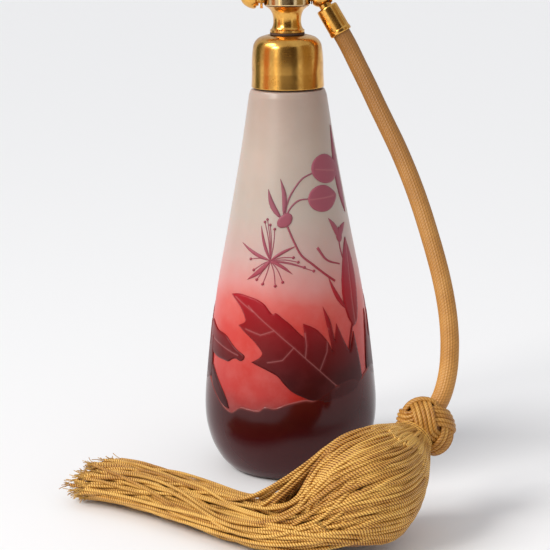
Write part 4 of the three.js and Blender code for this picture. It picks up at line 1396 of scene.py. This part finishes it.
# A cord's place across the tassel wanders from station to station and is drawn back to its own.
BUNDLE_SHARE, RETURN_SHARE, WIDEST = 0.86, 0.28, 0.97
draw = np.random.default_rng(11)


def cord_guide(place, layer):
    """Guide points of one cord; place runs from -1, the front edge, to 1, the back edge."""
    lift = LIFT_OFF + layer * CORD_R * 1.6
    start_turn = FAN_MIDDLE + place * FAN_TURN
    leave = 10.0 - 12.0 * place
    drift = math.radians(12 + 34 * (1 - place) / 2)
    points = [BULB_CENTRE - 29.5 * BULB_AXIS + (6.2 + layer * 0.7) * outward(start_turn)]
    stops = np.linspace(-24.5, leave, 7)
    for along in stops:
        share = (along - stops[0]) / (stops[-1] - stops[0])
        wander = draw.normal(0, 0.035)
        points.append(on_bulb(along, start_turn + drift * share ** 2 + wander, lift))
    swing = draw.normal(0, 0.19, len(TASSEL_LINE))
    height = draw.uniform(-0.95, 0.95)
    rise = draw.normal(0, 0.26, len(TASSEL_LINE))
    spot = place * BUNDLE_SHARE
    last = points[-1]
    for j, (_, half_width, half_height) in enumerate(TASSEL_LINE):
        spot = (1 - RETURN_SHARE) * spot + RETURN_SHARE * place * BUNDLE_SHARE + swing[j]
        held = max(-WIDEST, min(WIDEST, spot))
        level = max(-1, min(1, height + rise[j])) * math.sqrt(1 - held * held)
        there = tassel_points[j] + tassel_side[j] * held * half_width + np.array((0, 0, level * half_height))
        gone = (there - last) @ tassel_ahead[j]
        local = there - BULB_CENTRE
        along = local @ BULB_AXIS
        across = np.linalg.norm(local - along * BULB_AXIS)
        free = (across / (NET_R + lift)) ** 2 + (along / (NET_HALF + lift)) ** 2 > 1.0
        if gone > 7 and free:
            points.append(there)
    last_way = (points[-1] - points[-2]) / np.linalg.norm(points[-1] - points[-2])
    end = points[-1] + last_way * draw.uniform(-10, 0)
    if np.linalg.norm(end - points[-1]) > 2:
        points[-1] = end
    return points


places = np.linspace(-1, 1, CORD_COUNT) + draw.normal(0, 0.012, CORD_COUNT)
places = np.clip(places, -1, 1)
guides = [smooth_path(cord_guide(p, i % 2), GUIDE_STEP) for i, p in enumerate(places)]
print("guides:", len(guides), "cords of", round(float(np.mean([len(g) for g in guides])) * GUIDE_STEP), "mm")


# %% Settle the cords on the bulb, the table and each other
SMOOTHING = 0.30
CORD_GAP = CORD_R * 1.86
SHOVE_SHARE, MOST_SHOVE = 0.42, 0.7
FULL_ROUNDS, QUICK_ROUNDS = 36, 12


def settle(lines, rounds, sink=0.008):
    """Moves all cords a little each round; the first points stay under the knot."""
    owner = np.concatenate([np.full(len(line), i) for i, line in enumerate(lines)])
    order = np.concatenate([np.arange(len(line)) for line in lines])
    spots = np.vstack(lines)
    first = order == 0
    last = np.concatenate([np.arange(len(line)) == len(line) - 1 for line in lines])
    inner = ~(first | last)
    held = order < 2
    for _ in range(rounds):
        smooth = np.zeros_like(spots)
        smooth[inner] = (spots[np.where(inner)[0] - 1] + spots[np.where(inner)[0] + 1]) / 2 - spots[inner]
        moved_by = SMOOTHING * smooth
        moved_by[:, 2] -= sink
        tree = kdtree.KDTree(len(spots))
        for i, spot in enumerate(spots):
            tree.insert(spot, i)
        tree.balance()
        push = np.zeros_like(spots)
        for i in range(len(spots)):
            for _, j, gap in tree.find_range(spots[i], CORD_GAP):
                if j <= i or owner[i] == owner[j] or gap < 1e-6:
                    continue
                shove = (spots[i] - spots[j]) / gap * (CORD_GAP - gap) * SHOVE_SHARE
                push[i] += shove
                push[j] -= shove
        size = np.linalg.norm(push, axis=1)
        push *= np.minimum(1, MOST_SHOVE / np.maximum(size, 1e-9))[:, None]
        moved_by += push
        moved_by[held] = 0
        spots = spots + moved_by
        local = spots - BULB_CENTRE
        along = local @ BULB_AXIS
        across_way = local - along[:, None] * BULB_AXIS
        across = np.linalg.norm(across_way, axis=1)
        girth = NET_R * waist(along) + LIFT_OFF
        level = np.sqrt((across / girth) ** 2 + (along / (NET_HALF + LIFT_OFF)) ** 2)
        low = (level < 1) & ~held
        spots[low] = BULB_CENTRE + local[low] / level[low][:, None]
        spots[:, 2] = np.maximum(spots[:, 2], CORD_R + 0.05)
    result, at = [], 0
    for line in lines:
        result.append(spots[at:at + len(line)])
        at += len(line)
    return result


settled = settle(guides, FULL_ROUNDS)
print("settled:", len(settled), "cords")

# %% Cut each cord in three, near the knot, over the bulb and in the tassel, and make them
CORD_STEP = 0.8
SEAM_AT = -2.0
TURN_WAY = 0.866 * BULB_AXIS + 0.5 * BULB_LEFT
FAR_START, FAR_END = 8.5, 30.0
tints = draw.uniform(0.2, 0.85, CORD_COUNT)
near_lines, far_lines, tail_lines = [], [], []
far_starts, tail_starts = [], []
for line in settled:
    fine = smooth_path(line, CORD_STEP)
    along = (fine - BULB_CENTRE) @ BULB_AXIS
    seam = int(np.argmax(along > SEAM_AT))
    turn = (fine - BULB_CENTRE) @ TURN_WAY
    past = np.where(turn[seam:] > FAR_END + 1)[0]
    leave = seam + int(past[0]) if len(past) else len(fine) - 2
    near_lines.append(fine[:seam + 1])
    far_lines.append(fine[seam:leave + 1])
    tail_lines.append(fine[leave:])
    far_starts.append(seam * CORD_STEP)
    tail_starts.append(leave * CORD_STEP)
near_tints = list(tints)
CORD_SIZES = dict(Radius=CORD_R * MM, Lay=NO_TWIST, Plies=1, Groove=0.0, Section_Points=8,
                  Material=cord_silk)
# The loops get lighter tints than the cords under them, a painted highlight on the raised loops.
LOOP_COUNT = 54
LOOP_FOOT = -25.5
for k in range(LOOP_COUNT):
    turn = FAN_MIDDLE + FAN_TURN * (2 * (k + 0.5) / LOOP_COUNT - 1) + draw.normal(0, 0.03)
    reach = draw.uniform(-21, -12)
    half = 0.062 + draw.normal(0, 0.006)
    loop = [on_bulb(LOOP_FOOT, turn - half * 1.6, 1.9), on_bulb((reach - 25) / 2, turn - half, 2.1),
            on_bulb(reach, turn - half * 0.8, 1.9), on_bulb(reach + 1.6, turn, 1.7),
            on_bulb(reach, turn + half * 0.8, 1.9), on_bulb((reach - 25) / 2, turn + half, 2.1),
            on_bulb(LOOP_FOOT, turn + half * 1.6, 1.9)]
    near_lines.append(smooth_path(loop, 0.5))
    near_tints.append(draw.uniform(0.45, 0.95))
near_cords = made_by_rule("fan_cords_near_knot", near_lines, twist_rule, near_tints, **CORD_SIZES)
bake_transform(near_cords)
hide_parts("fan_cords")
print("near cords:", count_triangles(near_cords))


def halves(*lists):
    """Each list's first and second half, so that no piece grows too heavy."""
    size = math.ceil(len(lists[0]) / 2)
    return [[one[i:i + size] for one in lists] for i in range(0, len(lists[0]), size)]


for number, (group, shades, starts) in enumerate(halves(far_lines, tints, far_starts)):
    far_cords = made_by_rule(f"fan_cords_over_bulb_{number + 1}", group, twist_rule, shades,
                             starts=starts, **CORD_SIZES)
    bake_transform(far_cords)
    print("far cords:", count_triangles(far_cords))
for number, (group, shades, starts) in enumerate(halves(tail_lines, tints, tail_starts)):
    tail = made_by_rule(f"tassel_cords_{number + 1}", group, twist_rule, shades, starts=starts, **CORD_SIZES)
    finish(tail, "bulb", ["tassel"], cord_silk)

# %% Frayed ends
FIBRES_PER_CORD, FIBRE_STEPS, FIBRE_R = 7, 6, 0.17
fray_lines, fray_tints = [], []
for line, tint in zip(tail_lines, tints):
    if len(line) < 4:
        continue
    ahead = line[-1] - line[-4]
    ahead /= np.linalg.norm(ahead)
    for _ in range(FIBRES_PER_CORD):
        spread = draw.normal(0, 0.34, 3)
        length = draw.uniform(2.5, 6.0)
        fibre = [line[-1] + draw.normal(0, 0.16, 3) - ahead * 0.8]
        for step in range(1, FIBRE_STEPS + 1):
            share = step / FIBRE_STEPS
            way = ahead + spread * share + np.array((0, 0, -0.18 * share))
            fibre.append(fibre[-1] + way / np.linalg.norm(way) * length / FIBRE_STEPS)
            fibre[-1][2] = max(fibre[-1][2], 0.18)
        fray_lines.append(fibre)
        fray_tints.append(min(1.0, tint + 0.2))
fray = made_by_rule("frayed_ends", fray_lines, twist_rule, fray_tints, Radius=FIBRE_R * MM, Lay=1.0,
                    Plies=1, Groove=0.0, Section_Points=3, Material=cord_silk)
finish(fray, "bulb", [], cord_silk)

# %% [markdown]
# ## Pieces that keep their CAD shape
# Washers, threads, the dip tube and the valve are right as they are and mostly hidden, so each only
# gets a finish: compressed leather with its grain, chalky cement, turned brass, bright steel and
# clear tube.

# %% Leather, cement, steel and tube
def grained_material(name, low, high, scale, roughness, depth):
    """A plain finish in two tones by the shared tarnish mask, with a grain as bump."""
    material, tree, shader = new_material(name, Roughness=roughness)
    place = object_space(tree)
    mask = use_group(tree, tarnish_group, Vector=place, Patch_Scale=scale, Amount=1.0)["Mask"]
    wire(tree, blend_colours(tree, mask, low, high), shader.inputs["Base Color"])
    grain = add_node(tree, "ShaderNodeTexVoronoi", Vector=place, Scale=scale * 5)
    bump(tree, shader, grain.outputs["Distance"], depth, 0.5)
    return material


leather = grained_material("pressed leather", srgb(66, 44, 32), srgb(96, 66, 46), 500.0, 0.75, 0.00008)
cement = grained_material("collar cement", srgb(222, 214, 196), srgb(200, 190, 168), 420.0, 0.9, 0.00006)
steel, tree, shader = new_material("bright steel", Metallic=1.0, Roughness=0.2)
wear = use_group(tree, tarnish_group, Vector=object_space(tree), Patch_Scale=900.0, Amount=0.6)["Mask"]
wire(tree, blend_colours(tree, wear, srgb(205, 206, 208), srgb(160, 160, 160)), shader.inputs["Base Color"])
tube_glass, tree, shader = new_material("clear tube", Roughness=0.08, IOR=1.47, Transmission_Weight=0.85)
stain = use_group(tree, tarnish_group, Vector=object_space(tree), Patch_Scale=200.0, Amount=0.4)["Mask"]
wire(tree, blend_colours(tree, stain, srgb(236, 234, 226), srgb(214, 204, 176)), shader.inputs["Base Color"])

DRESSED = {
    leather: ["drum_gasket", "knuckle_washer_inner", "knuckle_washer_outer"],
    cement: ["cement_bed"],
    bare_brass: ["thread_ring", "inlet_spigot", "dip_tube_nut", "jet_block", "nozzle_barrel",
                 "bulb_neck_tube", "valve_body", "valve_guard"],
    steel: ["liquid_jet", "valve_ball"],
    tube_glass: ["dip_tube"],
}
for finish_paint, names in DRESSED.items():
    for name in names:
        nodes[name].data.materials.clear()
        nodes[name].data.materials.append(finish_paint)
finish(washer, "washer", ["seal_washer"], leather)
print("kept from CAD:", sum(len(names) for names in DRESSED.values()), "nodes")
